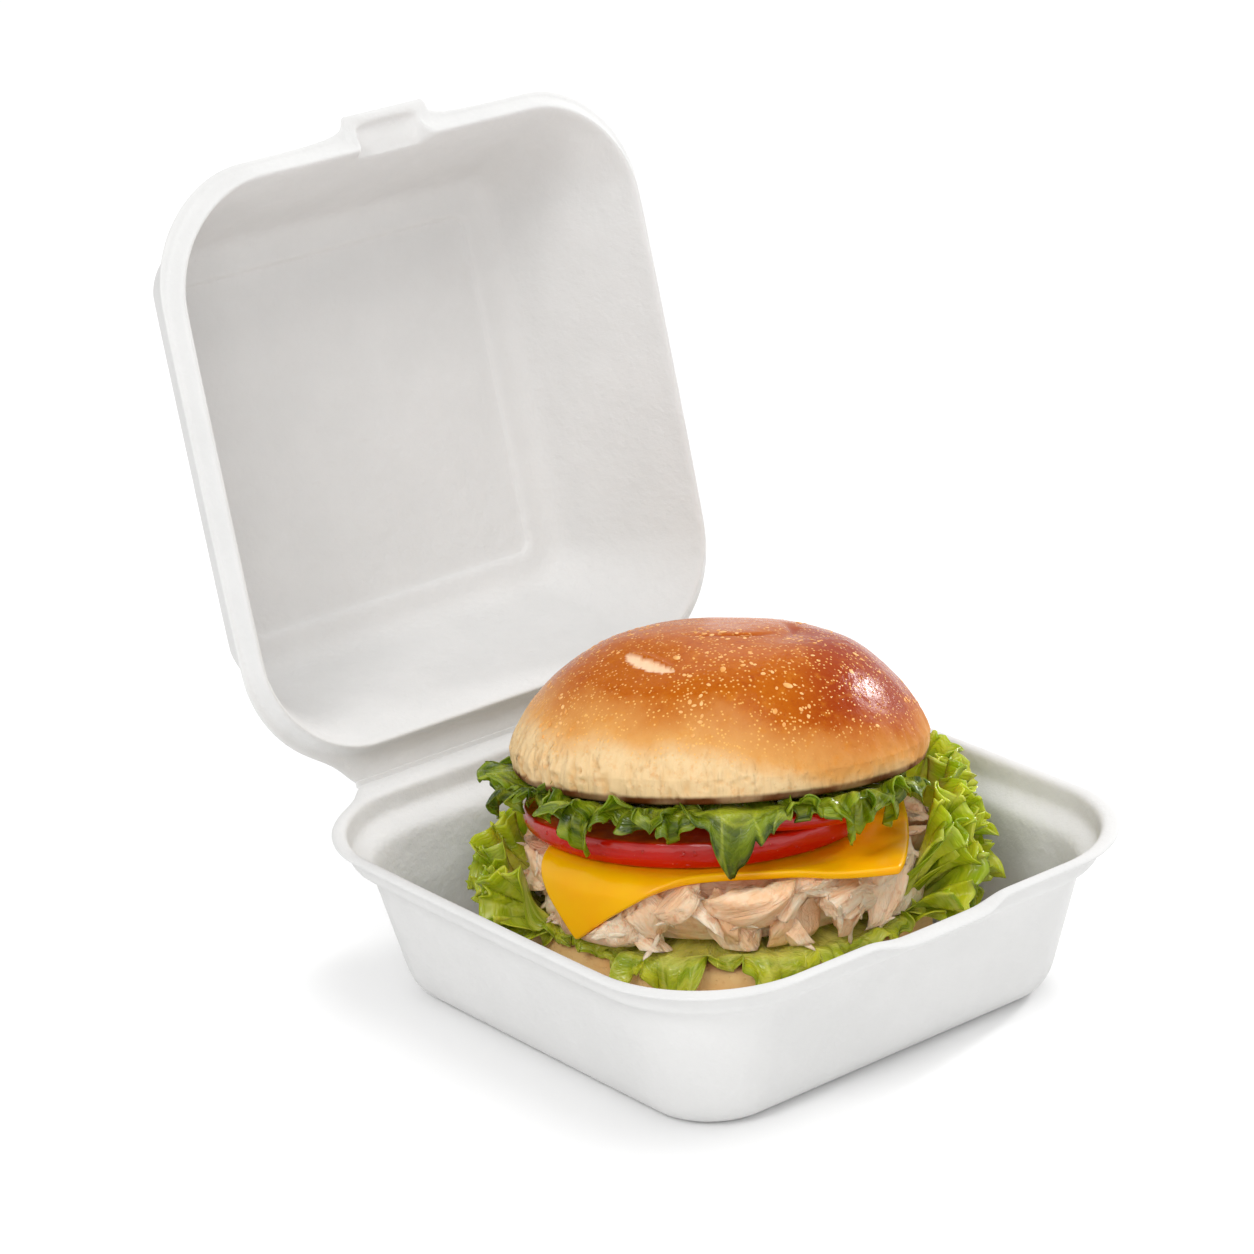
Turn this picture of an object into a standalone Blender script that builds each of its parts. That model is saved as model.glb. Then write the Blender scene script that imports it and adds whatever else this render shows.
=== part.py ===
"""A burger in an open clamshell box of moulded pulp.

The box is a square tray and a lid of one fibre sheet, joined along a crease at the back.
The burger is a stack of separate layers that stands in the tray, turned to one front corner:
bottom bun, lettuce, chicken flakes, a cheese slice, two tomato slices, lettuce and top bun.
Every layer leans back a little more than the one below it.

World frame: origin under the middle of the tray, +X along the crease, +Y towards it, +Z up.
Burger frame: +X to the right and -Y towards the viewer of the burger's front.
"""

import math
import random
from dataclasses import dataclass

import bmesh
import bpy
from mathutils import Vector, noise

COLLECTION = "burger_in_clamshell"

# Box, driving dimensions in metres
PULP = 0.0009
EDGE_ROUND = 0.0009
EDGE_DROP = 0.0006
TRAY_HALF = 0.0760
TRAY_DEEPER = 0.0006
TRAY_HEIGHT = 0.0420
LID_HALF = 0.0737
LID_DEEPER = 0.0007
LID_DEPTH = 0.0380
PANEL_DEPTH = 0.0015
CREASE_Y = 0.0811
HINGE_STRIP = 0.0056
CREASE_GAP = 0.00015
NECK_HALF = 0.0483
NECK_FOOT = 0.0570
LID_OPEN = math.radians(76.5)

# Latch: a dip in the tray's front lip, and a tab with a sunk window on the lid's far edge
NOTCH_STOPS = (0.0120, 0.0160, 0.0200)
NOTCH_DROP = 0.0015
NOTCH_PUSH = 0.0020
TAB_REACH = 0.0049
TAB_WINDOW = 0.0084
TAB_WALL = 0.0112
TAB_STOPS = (0.0084, 0.0094, 0.0102, 0.0112, 0.0123, 0.0131, 0.0136)

# Corner arcs: degrees from the side that faces -Y or +Y, finer where the neck's fillet is
ARC_STOPS = (0, 9, 14, 20, 29, 39, 50, 60, 70, 80, 90)

# Burger, driving dimensions in metres
BURGER_X = 0.006
BURGER_Y = 0.006
BURGER_TURN = math.radians(-38.7)
GAP = 0.0003
MERGE = 0.00001
STACK_RADIUS = 0.0492
BUN_TOP_RADIUS = 0.0501
BUN_TOP_HEIGHT = 0.0331
BUN_TOP_LEAN = math.radians(11.0)
BUN_EDGE_HEIGHT = 0.0060
TOMATO_SKIN = 0.0011
CHEESE_HALF = 0.0428
CHEESE_X = 0.0004
CHEESE_Y = -0.0024
CHEESE_THICK = 0.0018
CHEESE_EDGE = 0.0460
CHEESE_BEND = 0.0056
CHEESE_PULL = 0.0046
CHEESE_NIP = 0.0040
LEAF_INNER = 0.020
LEAF_TURN = 0.0455
LEAF_THICK = 0.0005
LEAF_STEP = 6.2


@dataclass(frozen=True)
class Level:
    """A sloping level of the stack: its height over the burger's middle, and its fall towards +Y."""

    height: float
    slope: float

    def at(self, y):
        return self.height - self.slope * y


HEEL_TOP = Level(0.0208, 0.060)
LOWER = Level(0.0219, 0.068)
CHICKEN_BOTTOM = Level(0.0230, 0.075)
CHICKEN_TOP = Level(0.0383, 0.105)
CHEESE_MIDDLE = Level(0.0398, 0.105)
TOMATO_BOTTOM = Level(0.0412, 0.105)
TOMATO_TOP = Level(0.0456, 0.160)
UPPER_SLICE_BOTTOM = Level(0.0461, 0.165)
UPPER_SLICE_TOP = Level(0.0499, 0.165)
UPPER = Level(0.0529, 0.194)
BUN_BOTTOM = Level(0.0546, 0.194)


@dataclass(frozen=True)
class Slice:
    """A round slice of tomato between two levels, with its middle at x and y."""

    name: str
    x: float
    y: float
    radius: float
    bottom: Level
    top: Level


TOMATOES = (
    Slice("tomato_lower", -0.006, 0.0, 0.0424, TOMATO_BOTTOM, TOMATO_TOP),
    Slice("tomato_upper", 0.013, -0.013, 0.026, UPPER_SLICE_BOTTOM, UPPER_SLICE_TOP),
)


@dataclass(frozen=True)
class Ring:
    """One ring of a pulp shell: half its width, corner radius and height.

    A lid's ring may have a place in the latch tab's window: metres beyond the rim's edge, and height.
    A tray's ring may lie further back than it lies forward, to let the lid's tongue swing in.
    """

    half: float
    radius: float
    z: float
    window: tuple = None
    back: float = 0.0


@dataclass(frozen=True)
class Leaf:
    """A ruffled leaf: an arc of a level, then a curve from the stack's edge past a bulge to a tip.

    Bulge and tip are (radius, height over the level) in metres; start and stop are in degrees.
    """

    name: str
    start: float
    stop: float
    level: Level
    bulge: tuple
    tip: tuple
    frill: float
    ruffles: float
    taper: float


def smooth_step(value, low, high):
    """0 below low, 1 above high, and an S-curve between."""
    t = min(max((value - low) / (high - low), 0.0), 1.0)
    return t * t * (3.0 - 2.0 * t)


def clear_scene():
    for obj in list(bpy.data.objects):
        bpy.data.objects.remove(obj, do_unlink=True)


def make_collection(name):
    collection = bpy.data.collections.new(name)
    bpy.context.scene.collection.children.link(collection)
    return collection


def make_material(name, colour, roughness):
    material = bpy.data.materials.new(name)
    material.use_nodes = True
    shader = material.node_tree.nodes["Principled BSDF"]
    shader.inputs["Base Color"].default_value = (*colour, 1.0)
    shader.inputs["Roughness"].default_value = roughness
    shader.inputs["Metallic"].default_value = 0.0
    return material


def make_object(name, bm, collection, material=None, parent=None):
    """An object of the bmesh's faces, shaded smooth, in the collection and under the parent."""
    mesh = bpy.data.meshes.new(name)
    bm.to_mesh(mesh)
    bm.free()
    obj = bpy.data.objects.new(name, mesh)
    collection.objects.link(obj)
    obj.parent = parent
    if material:
        mesh.materials.append(material)
    mesh.shade_smooth()
    return obj


def add_thickness(obj, thickness, offset):
    solidify = obj.modifiers.new("sheet", "SOLIDIFY")
    solidify.thickness = thickness
    solidify.offset = offset
    solidify.use_even_offset = True
    solidify.use_quality_normals = True


# Pulp shells


def rounded_loop(half_x, half_y, radius, z, front_stops=(), back_stops=()):
    """Points counter-clockwise round a rounded rectangle, from the middle of its +X side."""
    quarter = []
    centre_x = half_x - radius
    centre_y = half_y - radius
    for stop in reversed(ARC_STOPS):
        angle = math.radians(90 - stop)
        quarter.append((centre_x + radius * math.cos(angle), centre_y + radius * math.sin(angle)))
    front = [-x for x in reversed(front_stops)] + list(front_stops)
    back = list(reversed(back_stops)) + [-x for x in back_stops]
    points = quarter + [(x, half_y) for x in back]
    points += [(-x, y) for x, y in reversed(quarter)]
    points += [(-x, -y) for x, y in quarter] + [(x, -half_y) for x in front]
    points += [(x, -y) for x, y in reversed(quarter)]
    return [Vector((x, y, z)) for x, y in points]


def neck_weight(x):
    """1 along the crease, 0 away from it, and a hollow fillet between."""
    t = min(max((abs(x) - NECK_HALF) / (NECK_FOOT - NECK_HALF), 0.0), 1.0)
    return (1.0 - t) ** 2.2


def loft(loops):
    """A bmesh of quads between one loop and the next, closed by one flat face in the last loop."""
    bm = bmesh.new()
    rows = [[bm.verts.new(point) for point in loop] for loop in loops]
    for outer, inner in zip(rows, rows[1:]):
        for k in range(len(outer)):
            after = (k + 1) % len(outer)
            bm.faces.new((outer[k], outer[after], inner[after], inner[k]))
    bm.faces.new(rows[-1])
    return bm


def tray_loops():
    """Rings of the tray's inner face, from the lip's edge in and down to the floor."""
    lip = TRAY_HEIGHT
    floor = PULP
    lip_edge = Ring(TRAY_HALF, 0.0329, lip - EDGE_DROP)
    lip_outside = Ring(TRAY_HALF - EDGE_ROUND, 0.0321, lip)
    lip_inside = Ring(TRAY_HALF - 0.0036, 0.0315, lip, back=0.0013)
    step_foot = Ring(TRAY_HALF - 0.0047, 0.0305, lip - 0.0062, back=0.0013)
    ledge = Ring(TRAY_HALF - 0.0090, 0.0240, lip - 0.0077, back=0.0008)
    wall_top = Ring(TRAY_HALF - 0.0102, 0.0230, lip - 0.0095, back=0.0006)
    wall_foot = Ring(TRAY_HALF - 0.0160, 0.0195, floor + 0.0060)
    fillet = Ring(TRAY_HALF - 0.0180, 0.0165, floor + 0.0020)
    floor_edge = Ring(TRAY_HALF - 0.0212, 0.0145, floor)
    rings = (lip_edge, lip_outside, lip_inside, step_foot, ledge, wall_top, wall_foot, fillet, floor_edge)
    loops = []
    for index, ring in enumerate(rings):
        half_y = ring.half + TRAY_DEEPER
        loop = rounded_loop(ring.half, half_y, ring.radius, ring.z, front_stops=NOTCH_STOPS)
        for point in loop:
            point.y += ring.back if point.y > 0 else 0.0
        if index < 2:
            crease = CREASE_Y - CREASE_GAP - EDGE_ROUND * index
            for point in loop:
                weight = neck_weight(point.x) if point.y > 0 else 0.0
                point.y += (crease - point.y) * weight
                point.z += (TRAY_HEIGHT - point.z) * weight
        if index < 3:
            push = NOTCH_PUSH * (1.0 - index / 2)
            for point in (p for p in loop if p.y < -ring.half):
                weight = 1.0 - smooth_step(abs(point.x), NOTCH_STOPS[0], NOTCH_STOPS[-1])
                point.z -= NOTCH_DROP * weight
                point.y -= push * weight
        loops.append(loop)
    return loops


def build_tray(collection, material):
    tray = make_object("tray", loft(tray_loops()), collection, material)
    add_thickness(tray, PULP, -1.0)
    return tray


def tab_weight(x, index):
    """How far a ring's point is drawn into the tab: the two outer rings make the tab's edge."""
    if index < 2:
        return 1.0 - 0.3 * smooth_step(x, TAB_STOPS[4], TAB_STOPS[5]) if x < TAB_STOPS[6] - 1e-6 else 0.0
    return 1.0 - smooth_step(x, TAB_WINDOW, TAB_WALL)


def lid_loops():
    """Rings of the lid's inner face, from the rim's edge over the tongue and down to the sunk panel."""
    ceiling = -LID_DEPTH
    rim_edge = Ring(LID_HALF, 0.0304, -EDGE_DROP, (TAB_REACH, -EDGE_DROP))
    rim_outside = Ring(LID_HALF - EDGE_ROUND, 0.0296, 0.0, (TAB_REACH - EDGE_ROUND, 0.0))
    tongue_foot = Ring(LID_HALF - 0.0016, 0.0310, 0.0, (0.0022, 0.0))
    tongue_outside = Ring(LID_HALF - 0.0026, 0.0305, 0.0029, (0.0014, -0.0016))
    tongue_crest = Ring(LID_HALF - 0.0037, 0.0290, 0.0040, (-0.0010, -0.0019))
    tongue_inside = Ring(LID_HALF - 0.0048, 0.0275, 0.0031, (-0.0038, -0.0019))
    wall_top = Ring(LID_HALF - 0.0058, 0.0260, 0.0002, (-0.0062, -0.0023))
    wall_foot = Ring(LID_HALF - 0.0188, 0.0120, ceiling + 0.0060)
    fillet = Ring(LID_HALF - 0.0207, 0.0105, ceiling + 0.0020)
    ceiling_edge = Ring(LID_HALF - 0.0242, 0.0075, ceiling)
    panel_edge = Ring(LID_HALF - 0.0287, 0.0045, ceiling)
    panel = Ring(LID_HALF - 0.0299, 0.0035, ceiling - PANEL_DEPTH)
    tongue = (tongue_foot, tongue_outside, tongue_crest, tongue_inside)
    rings = (rim_edge, rim_outside, *tongue, wall_top, wall_foot, fillet, ceiling_edge, panel_edge, panel)
    rim_y = LID_HALF + LID_DEEPER
    middle_y = HINGE_STRIP + rim_y
    loops = []
    for index, ring in enumerate(rings):
        half_y = ring.half + LID_DEEPER
        loop = rounded_loop(ring.half, half_y, ring.radius, ring.z, back_stops=TAB_STOPS)
        for point in loop:
            weight = tab_weight(abs(point.x), index) if ring.window and point.y > ring.half else 0.0
            if weight > 0.0:
                point.y += (rim_y + ring.window[0] - point.y) * weight
                point.z += (ring.window[1] - point.z) * weight
            point.y += middle_y
            if index < 2 and point.y < middle_y:
                weight = neck_weight(point.x)
                point.y += (CREASE_GAP + EDGE_ROUND * index - point.y) * weight
                point.z += (0.0 - point.z) * weight
        loops.append(loop)
    return loops


def build_lid(collection, material):
    """The lid, with its origin on the crease, turned open about it."""
    lid = make_object("lid", loft(lid_loops()), collection, material)
    add_thickness(lid, PULP, -1.0)
    lid.location = (0.0, CREASE_Y, TRAY_HEIGHT)
    lid.rotation_euler.x = LID_OPEN
    return lid


# Buns and tomato slices


def evaluated_mesh(obj):
    """A new mesh of the object with its modifiers applied."""
    bpy.context.view_layer.update()
    graph = bpy.context.evaluated_depsgraph_get()
    return bpy.data.meshes.new_from_object(obj.evaluated_get(graph))


def turned(profile, steps):
    """A bmesh of the profile, (radius, height) from the axis round to the axis, turned about Z."""
    line = bpy.data.meshes.new("profile")
    points = [(radius, 0.0, height) for radius, height in profile]
    line.from_pydata(points, [(k, k + 1) for k in range(len(points) - 1)], [])
    outline = bpy.data.objects.new("profile", line)
    bpy.context.scene.collection.objects.link(outline)
    screw = outline.modifiers.new("turn", "SCREW")
    screw.steps = steps
    screw.render_steps = steps
    screw.use_merge_vertices = True
    screw.merge_threshold = MERGE
    bm = bmesh.new()
    bm.from_mesh(evaluated_mesh(outline))
    bpy.data.objects.remove(outline, do_unlink=True)
    bmesh.ops.recalc_face_normals(bm, faces=bm.faces)
    return bm


def dome_height(radius):
    """Height of the top bun's crust over its cut face, at a distance from its axis."""
    share = min(radius / BUN_TOP_RADIUS, 1.0)
    return BUN_EDGE_HEIGHT + (BUN_TOP_HEIGHT - BUN_EDGE_HEIGHT) * (1.0 - share**3.03) ** 0.81


def build_bun_top(collection, material, burger):
    stations = (0.0, 0.22, 0.42, 0.58, 0.71, 0.81, 0.89, 0.95, 0.985)
    profile = [(BUN_TOP_RADIUS * share, dome_height(BUN_TOP_RADIUS * share)) for share in stations]
    profile += [
        (BUN_TOP_RADIUS, BUN_EDGE_HEIGHT),
        (BUN_TOP_RADIUS - 0.0006, 0.0030),
        (BUN_TOP_RADIUS - 0.0020, 0.0006),
        (BUN_TOP_RADIUS - 0.0044, 0.0),
        (0.0, 0.0),
    ]
    bm = turned(profile, 36)
    for vert in bm.verts:
        height = vert.co.z / BUN_TOP_HEIGHT
        bulge = noise.noise(vert.co * 32.0 + Vector((3.1, 0.7, 5.2)))
        vert.co.z -= 0.0005 * height * vert.co.x / BUN_TOP_RADIUS
        vert.co.x += 0.0013 * height * height
        if height > 0.3:
            vert.co.z += 0.0010 * bulge * min(2.0 * (height - 0.3), 1.0)
    bun = make_object("bun_top", bm, collection, material, burger)
    bun.location = (-0.0007, 0.0, BUN_BOTTOM.height)
    bun.rotation_euler.x = -BUN_TOP_LEAN
    return bun


def build_bun_bottom(collection, material, burger):
    """The bottom bun: heights are shares of the way from the tray's floor to the stack's first level."""
    bottom = PULP + GAP
    profile = (
        (0.0, 1.0),
        (0.0435, 1.0),
        (0.0466, 0.97),
        (0.0480, 0.86),
        (0.0488, 0.62),
        (0.0485, 0.38),
        (0.0470, 0.16),
        (0.0452, 0.04),
        (0.0428, 0.0),
        (0.0, 0.0),
    )
    bm = turned(profile, 32)
    for vert in bm.verts:
        vert.co.z = bottom + vert.co.z * (HEEL_TOP.at(vert.co.y) - bottom)
    return make_object("bun_bottom", bm, collection, material, burger)


def build_tomato(slice_, collection, material, burger):
    """A round slice between two levels, a little uneven round its edge, with a rounded skin."""
    bm = bmesh.new()
    radius = slice_.radius
    bmesh.ops.create_cone(bm, cap_ends=True, segments=32, radius1=radius, radius2=radius, depth=1.0)
    for vert in bm.verts:
        level = slice_.top if vert.co.z > 0 else slice_.bottom
        uneven = 1.0 + 0.012 * math.sin(3.0 * math.atan2(vert.co.y, vert.co.x) + 40.0 * slice_.x)
        vert.co.x = slice_.x + vert.co.x * uneven
        vert.co.y = slice_.y + vert.co.y * uneven
        vert.co.z = level.at(vert.co.y)
    tomato = make_object(slice_.name, bm, collection, material, burger)
    bevel = tomato.modifiers.new("skin", "BEVEL")
    bevel.width = TOMATO_SKIN
    bevel.segments = 2
    bevel.limit_method = "ANGLE"
    bevel.angle_limit = math.radians(50)
    return tomato


# Cheese


def droop_angle(azimuth):
    """How steeply the slice hangs over the edge of the chicken, in radians, by direction in degrees."""
    bumps = ((-128.0, 30.0, 34.0), (-47.0, -50.0, 30.0))
    angle = 53.0
    for middle, more, width in bumps:
        away = (azimuth - middle + 180.0) % 360.0 - 180.0
        angle += more * math.exp(-((away / width) ** 2))
    return math.radians(angle)


def draped(x, y):
    """Where a point of the flat slice lies once the slice has bent over the stack's edge.

    The corner that hangs lowest, at the front left, is drawn out by its own weight.
    """
    distance = math.hypot(x, y)
    azimuth = math.degrees(math.atan2(y, x))
    pull = smooth_step(azimuth, -158.0, -142.0) * (1.0 - smooth_step(azimuth, -122.0, -92.0))
    distance += CHEESE_PULL * pull * smooth_step(distance, 0.030, 0.047)
    over = max(distance - CHEESE_EDGE, 0.0)
    angle = min(over / CHEESE_BEND, droop_angle(azimuth))
    rest = over - CHEESE_BEND * angle
    radius = min(distance, CHEESE_EDGE) + CHEESE_BEND * math.sin(angle) + rest * math.cos(angle)
    drop = CHEESE_BEND * (1.0 - math.cos(angle)) + rest * math.sin(angle)
    x, y = radius * math.cos(math.radians(azimuth)), radius * math.sin(math.radians(azimuth))
    return Vector((x, y, CHEESE_MIDDLE.at(y) - drop))


def build_cheese(collection, material, burger):
    """A square slice, finer towards its corners, which bend over the edge of the chicken."""
    bm = bmesh.new()
    bmesh.ops.create_grid(bm, x_segments=14, y_segments=14, size=1.0)
    for vert in bm.verts:
        u, v = (math.copysign(abs(t) ** 0.72, t) for t in (vert.co.x, vert.co.y))
        narrower = CHEESE_NIP * max(u, 0.0) * max(-v, 0.0) ** 2
        vert.co = draped(CHEESE_X + CHEESE_HALF * u - narrower, CHEESE_Y + CHEESE_HALF * v)
    bmesh.ops.triangulate(bm, faces=bm.faces)
    cheese = make_object("cheese", bm, collection, material, burger)
    add_thickness(cheese, CHEESE_THICK, 0.0)
    return cheese


# Chicken


def edge_limit(z, bottom, top):
    """The stack's outer radius at a height between two levels, rounded towards both."""
    curl = 0.0046
    beyond = max(z - (top - curl), (bottom + curl) - z, 0.0)
    return STACK_RADIUS - curl + math.sqrt(max(curl * curl - beyond * beyond, 0.0))


def chicken_chunk(rng, azimuth, height):
    """One flake of chicken at the rim, as a lumpy slab that keeps inside the layer."""
    bm = bmesh.new()
    bmesh.ops.create_icosphere(bm, subdivisions=2, radius=1.0)
    size = Vector((rng.uniform(0.0078, 0.0105), rng.uniform(0.0045, 0.0058), rng.uniform(0.0032, 0.0045)))
    seed = Vector((rng.uniform(0, 50), rng.uniform(0, 50), rng.uniform(0, 50)))
    spin = rng.uniform(-1.0, 1.0)
    lean = rng.uniform(-0.7, 0.7)
    radius = rng.uniform(0.0415, 0.0440)
    for vert in bm.verts:
        lump = 1.0 + 0.45 * noise.noise(vert.co * 1.4 + seed)
        x, y, z = vert.co.x * size.x * lump, vert.co.y * size.y * lump, vert.co.z * size.z * lump
        x, z = x * math.cos(lean) - z * math.sin(lean), x * math.sin(lean) + z * math.cos(lean)
        x, y = x * math.cos(spin) - y * math.sin(spin), x * math.sin(spin) + y * math.cos(spin)
        around = azimuth + x / radius
        distance = radius + y
        place_y = distance * math.sin(around)
        bottom, top = CHICKEN_BOTTOM.at(place_y), CHICKEN_TOP.at(place_y)
        level = bottom + height * (top - bottom) + z
        level = min(max(level, bottom + 0.0002), top - 0.0002)
        distance = min(distance, edge_limit(level, bottom, top) + 0.0004 * vert.co.y)
        vert.co = Vector((distance * math.cos(around), distance * math.sin(around), level))
    return bm


def build_chicken(collection, material, burger):
    """A core with flakes fused on all round its side."""
    rng = random.Random(11)
    profile = ((0.0, 1.0), (0.0425, 1.0), (0.0440, 0.85), (0.0440, 0.15), (0.0425, 0.0), (0.0, 0.0))
    core = turned(profile, 30)
    for vert in core.verts:
        bottom, top = CHICKEN_BOTTOM.at(vert.co.y), CHICKEN_TOP.at(vert.co.y)
        vert.co.z = bottom + 0.0005 + vert.co.z * (top - bottom - 0.0010)
    chicken = make_object("chicken", core, collection, material, burger)
    flakes = make_collection("chicken_flakes")
    rows = ((0.24, 12), (0.52, 10), (0.78, 12))
    for height, count in rows:
        for k in range(count):
            azimuth = math.tau * (k + rng.uniform(-0.22, 0.22)) / count + height * 3.0
            bm = chicken_chunk(rng, azimuth, height + rng.uniform(-0.06, 0.06))
            make_object("flake", bm, flakes, None, burger)
    union = chicken.modifiers.new("flakes", "BOOLEAN")
    union.operation = "UNION"
    union.operand_type = "COLLECTION"
    union.collection = flakes
    fused = evaluated_mesh(chicken)
    chicken.modifiers.remove(union)
    chicken.data = fused
    for flake in list(flakes.objects):
        bpy.data.objects.remove(flake, do_unlink=True)
    bpy.data.collections.remove(flakes)
    return chicken


# Lettuce

LEAVES = (
    Leaf("lettuce_lower_left", 150, 206, LOWER, (0.0560, 0.000), (0.0575, 0.009), 0.0045, 3.1, 0.30),
    Leaf("lettuce_lower_front", 209, 261, LOWER, (0.0515, 0.000), (0.0508, -0.007), 0.0014, 3.0, 0.45),
    Leaf("lettuce_lower_right", 263, 326, LOWER, (0.0520, 0.000), (0.0512, -0.006), 0.0016, 3.4, 0.45),
    Leaf("lettuce_tall", 331, 387, LOWER, (0.0670, 0.003), (0.0522, 0.033), 0.0028, 3.2, 0.30),
    Leaf("lettuce_lower_back", 31, 146, LOWER, (0.0508, 0.000), (0.0506, -0.004), 0.0008, 5.2, 0.30),
    Leaf("lettuce_upper_left", 172, 257, UPPER, (0.0550, 0.001), (0.0568, -0.004), 0.0052, 4.6, 0.30),
    Leaf("lettuce_hanging", 260, 284, UPPER, (0.0545, 0.001), (0.0522, -0.015), 0.0008, 1.0, 0.90),
    Leaf("lettuce_upper_right", 287, 327, UPPER, (0.0540, 0.001), (0.0530, -0.008), 0.0030, 2.6, 0.40),
    Leaf("lettuce_upper_back", 32, 168, UPPER, (0.0540, 0.001), (0.0545, -0.005), 0.0030, 6.4, 0.30),
)
LEAF_ROWS = (0.0, 0.5, 0.64, 0.77, 0.89, 1.0)


def leaf_point(leaf, along, across):
    """A point of the leaf's middle face: along runs round the stack, across from its root to its edge."""
    azimuth = math.radians(leaf.start + (leaf.stop - leaf.start) * along)
    phase = math.tau * leaf.ruffles * along
    share = max((across - LEAF_ROWS[1]) / (1.0 - LEAF_ROWS[1]), 0.0)
    share *= math.sin(math.pi * (0.04 + 0.92 * along)) ** leaf.taper
    if across == 1.0:
        share *= 0.92 - 0.08 * math.cos(2.0 * phase + 0.8)
    start, bulge, tip = Vector((LEAF_TURN, 0.0)), Vector(leaf.bulge), Vector(leaf.tip)
    place = start.lerp(bulge, share).lerp(bulge.lerp(tip, share), share)
    way = ((bulge - start) * (1.0 - share) + (tip - bulge) * share).normalized()
    ruffle = leaf.frill * math.sin(phase) * share**1.5
    root = LEAF_INNER + (LEAF_TURN - LEAF_INNER) * min(across / LEAF_ROWS[1], 1.0)
    radius = root + place.x - LEAF_TURN - ruffle * way.y
    x, y = radius * math.cos(azimuth), radius * math.sin(azimuth)
    return Vector((x, y, leaf.level.at(y) + place.y + ruffle * way.x))


def build_leaf(leaf, collection, material, burger):
    bm = bmesh.new()
    columns = max(round((leaf.stop - leaf.start) / LEAF_STEP), 5)
    grid = []
    for i in range(columns + 1):
        grid.append([bm.verts.new(leaf_point(leaf, i / columns, row)) for row in LEAF_ROWS])
    for left, right in zip(grid, grid[1:]):
        for j in range(len(LEAF_ROWS) - 1):
            bm.faces.new((left[j], left[j + 1], right[j + 1], right[j]))
    bmesh.ops.triangulate(bm, faces=bm.faces)
    obj = make_object(leaf.name, bm, collection, material, burger)
    add_thickness(obj, LEAF_THICK, 0.0)
    return obj


def main():
    clear_scene()
    collection = make_collection(COLLECTION)
    pulp = make_material("pulp", (0.88, 0.88, 0.86), 0.75)
    crust = make_material("bun_crust", (0.62, 0.28, 0.07), 0.40)
    crumb = make_material("bun_side", (0.82, 0.60, 0.34), 0.60)
    leaf_green = make_material("lettuce", (0.20, 0.42, 0.04), 0.45)
    meat = make_material("chicken", (0.80, 0.55, 0.43), 0.50)
    slice_yellow = make_material("cheese", (0.95, 0.48, 0.03), 0.35)
    skin = make_material("tomato", (0.65, 0.04, 0.02), 0.25)

    build_tray(collection, pulp)
    build_lid(collection, pulp)

    burger = bpy.data.objects.new("burger", None)
    burger.location = (BURGER_X, BURGER_Y, 0.0)
    burger.rotation_euler.z = BURGER_TURN
    collection.objects.link(burger)
    build_bun_bottom(collection, crumb, burger)
    build_chicken(collection, meat, burger)
    build_cheese(collection, slice_yellow, burger)
    for slice_ in TOMATOES:
        build_tomato(slice_, collection, skin, burger)
    for leaf in LEAVES:
        build_leaf(leaf, collection, leaf_green, burger)
    build_bun_top(collection, crust, burger)


main()
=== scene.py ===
"""Looks of a burger in an open clamshell box of moulded pulp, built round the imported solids.

Row frame: origin under the middle of the tray, +X along the crease, +Y towards it, +Z up, metres.
Burger frame: +X to the right and -Y towards the viewer of the burger's front, turned in the tray.
Each class holds the sizes of one sub-assembly, builds its meshes and dresses them.
"""

import logging
import math
import random
from collections.abc import Iterable
from dataclasses import dataclass
from enum import Enum
from typing import Union

import bmesh
import bpy
import numpy as np
from mathutils import Matrix, Vector, noise

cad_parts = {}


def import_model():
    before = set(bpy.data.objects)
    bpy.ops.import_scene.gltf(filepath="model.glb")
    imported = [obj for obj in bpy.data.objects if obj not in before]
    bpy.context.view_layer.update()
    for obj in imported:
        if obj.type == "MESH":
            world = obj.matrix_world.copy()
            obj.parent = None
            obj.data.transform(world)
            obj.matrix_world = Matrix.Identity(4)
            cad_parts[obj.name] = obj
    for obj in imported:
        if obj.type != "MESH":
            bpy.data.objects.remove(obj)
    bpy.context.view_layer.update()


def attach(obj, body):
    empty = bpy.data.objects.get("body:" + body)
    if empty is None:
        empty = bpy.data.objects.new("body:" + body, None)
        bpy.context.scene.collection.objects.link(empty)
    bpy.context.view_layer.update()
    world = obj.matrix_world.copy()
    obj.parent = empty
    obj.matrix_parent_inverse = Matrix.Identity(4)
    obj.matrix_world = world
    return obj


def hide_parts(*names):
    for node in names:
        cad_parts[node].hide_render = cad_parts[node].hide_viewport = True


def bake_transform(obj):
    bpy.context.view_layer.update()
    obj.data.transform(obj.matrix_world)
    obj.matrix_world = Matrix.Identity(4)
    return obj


LOG = logging.getLogger("burger_box")

# A number or an array of them, and what a shader's socket may be fed with
Measure = Union[float, np.ndarray]
Socket = bpy.types.NodeSocket
Fed = Union[Socket, float, tuple, None]

# Burger's place in the tray
BURGER_PLACE = Vector((0.006, 0.006, 0.0))
BURGER_TURN = math.radians(-38.7)
BURGER_MATRIX = Matrix.Translation(BURGER_PLACE) @ Matrix.Rotation(BURGER_TURN, 4, "Z")

# Sizes that the box's parts share; the tray and the lid each end half a gap from the crease
PULP = 0.0009
TRAY_HEIGHT = 0.0420
CREASE_Y = 0.0811
HALF_GAP = 0.00015
LID_OPEN = math.radians(76.5)
NECK_HALF = 0.0483
NECK_FOOT = 0.0570
STACK_RADIUS = 0.0492


@dataclass(frozen=True)
class Level:
    """A sloping level of the stack: its height over the burger's middle, and its fall towards +Y."""

    height: float
    slope: float

    def at(self, y: Measure) -> Measure:
        """The level's height at y, which may be a number or an array."""
        return self.height - self.slope * y


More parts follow.
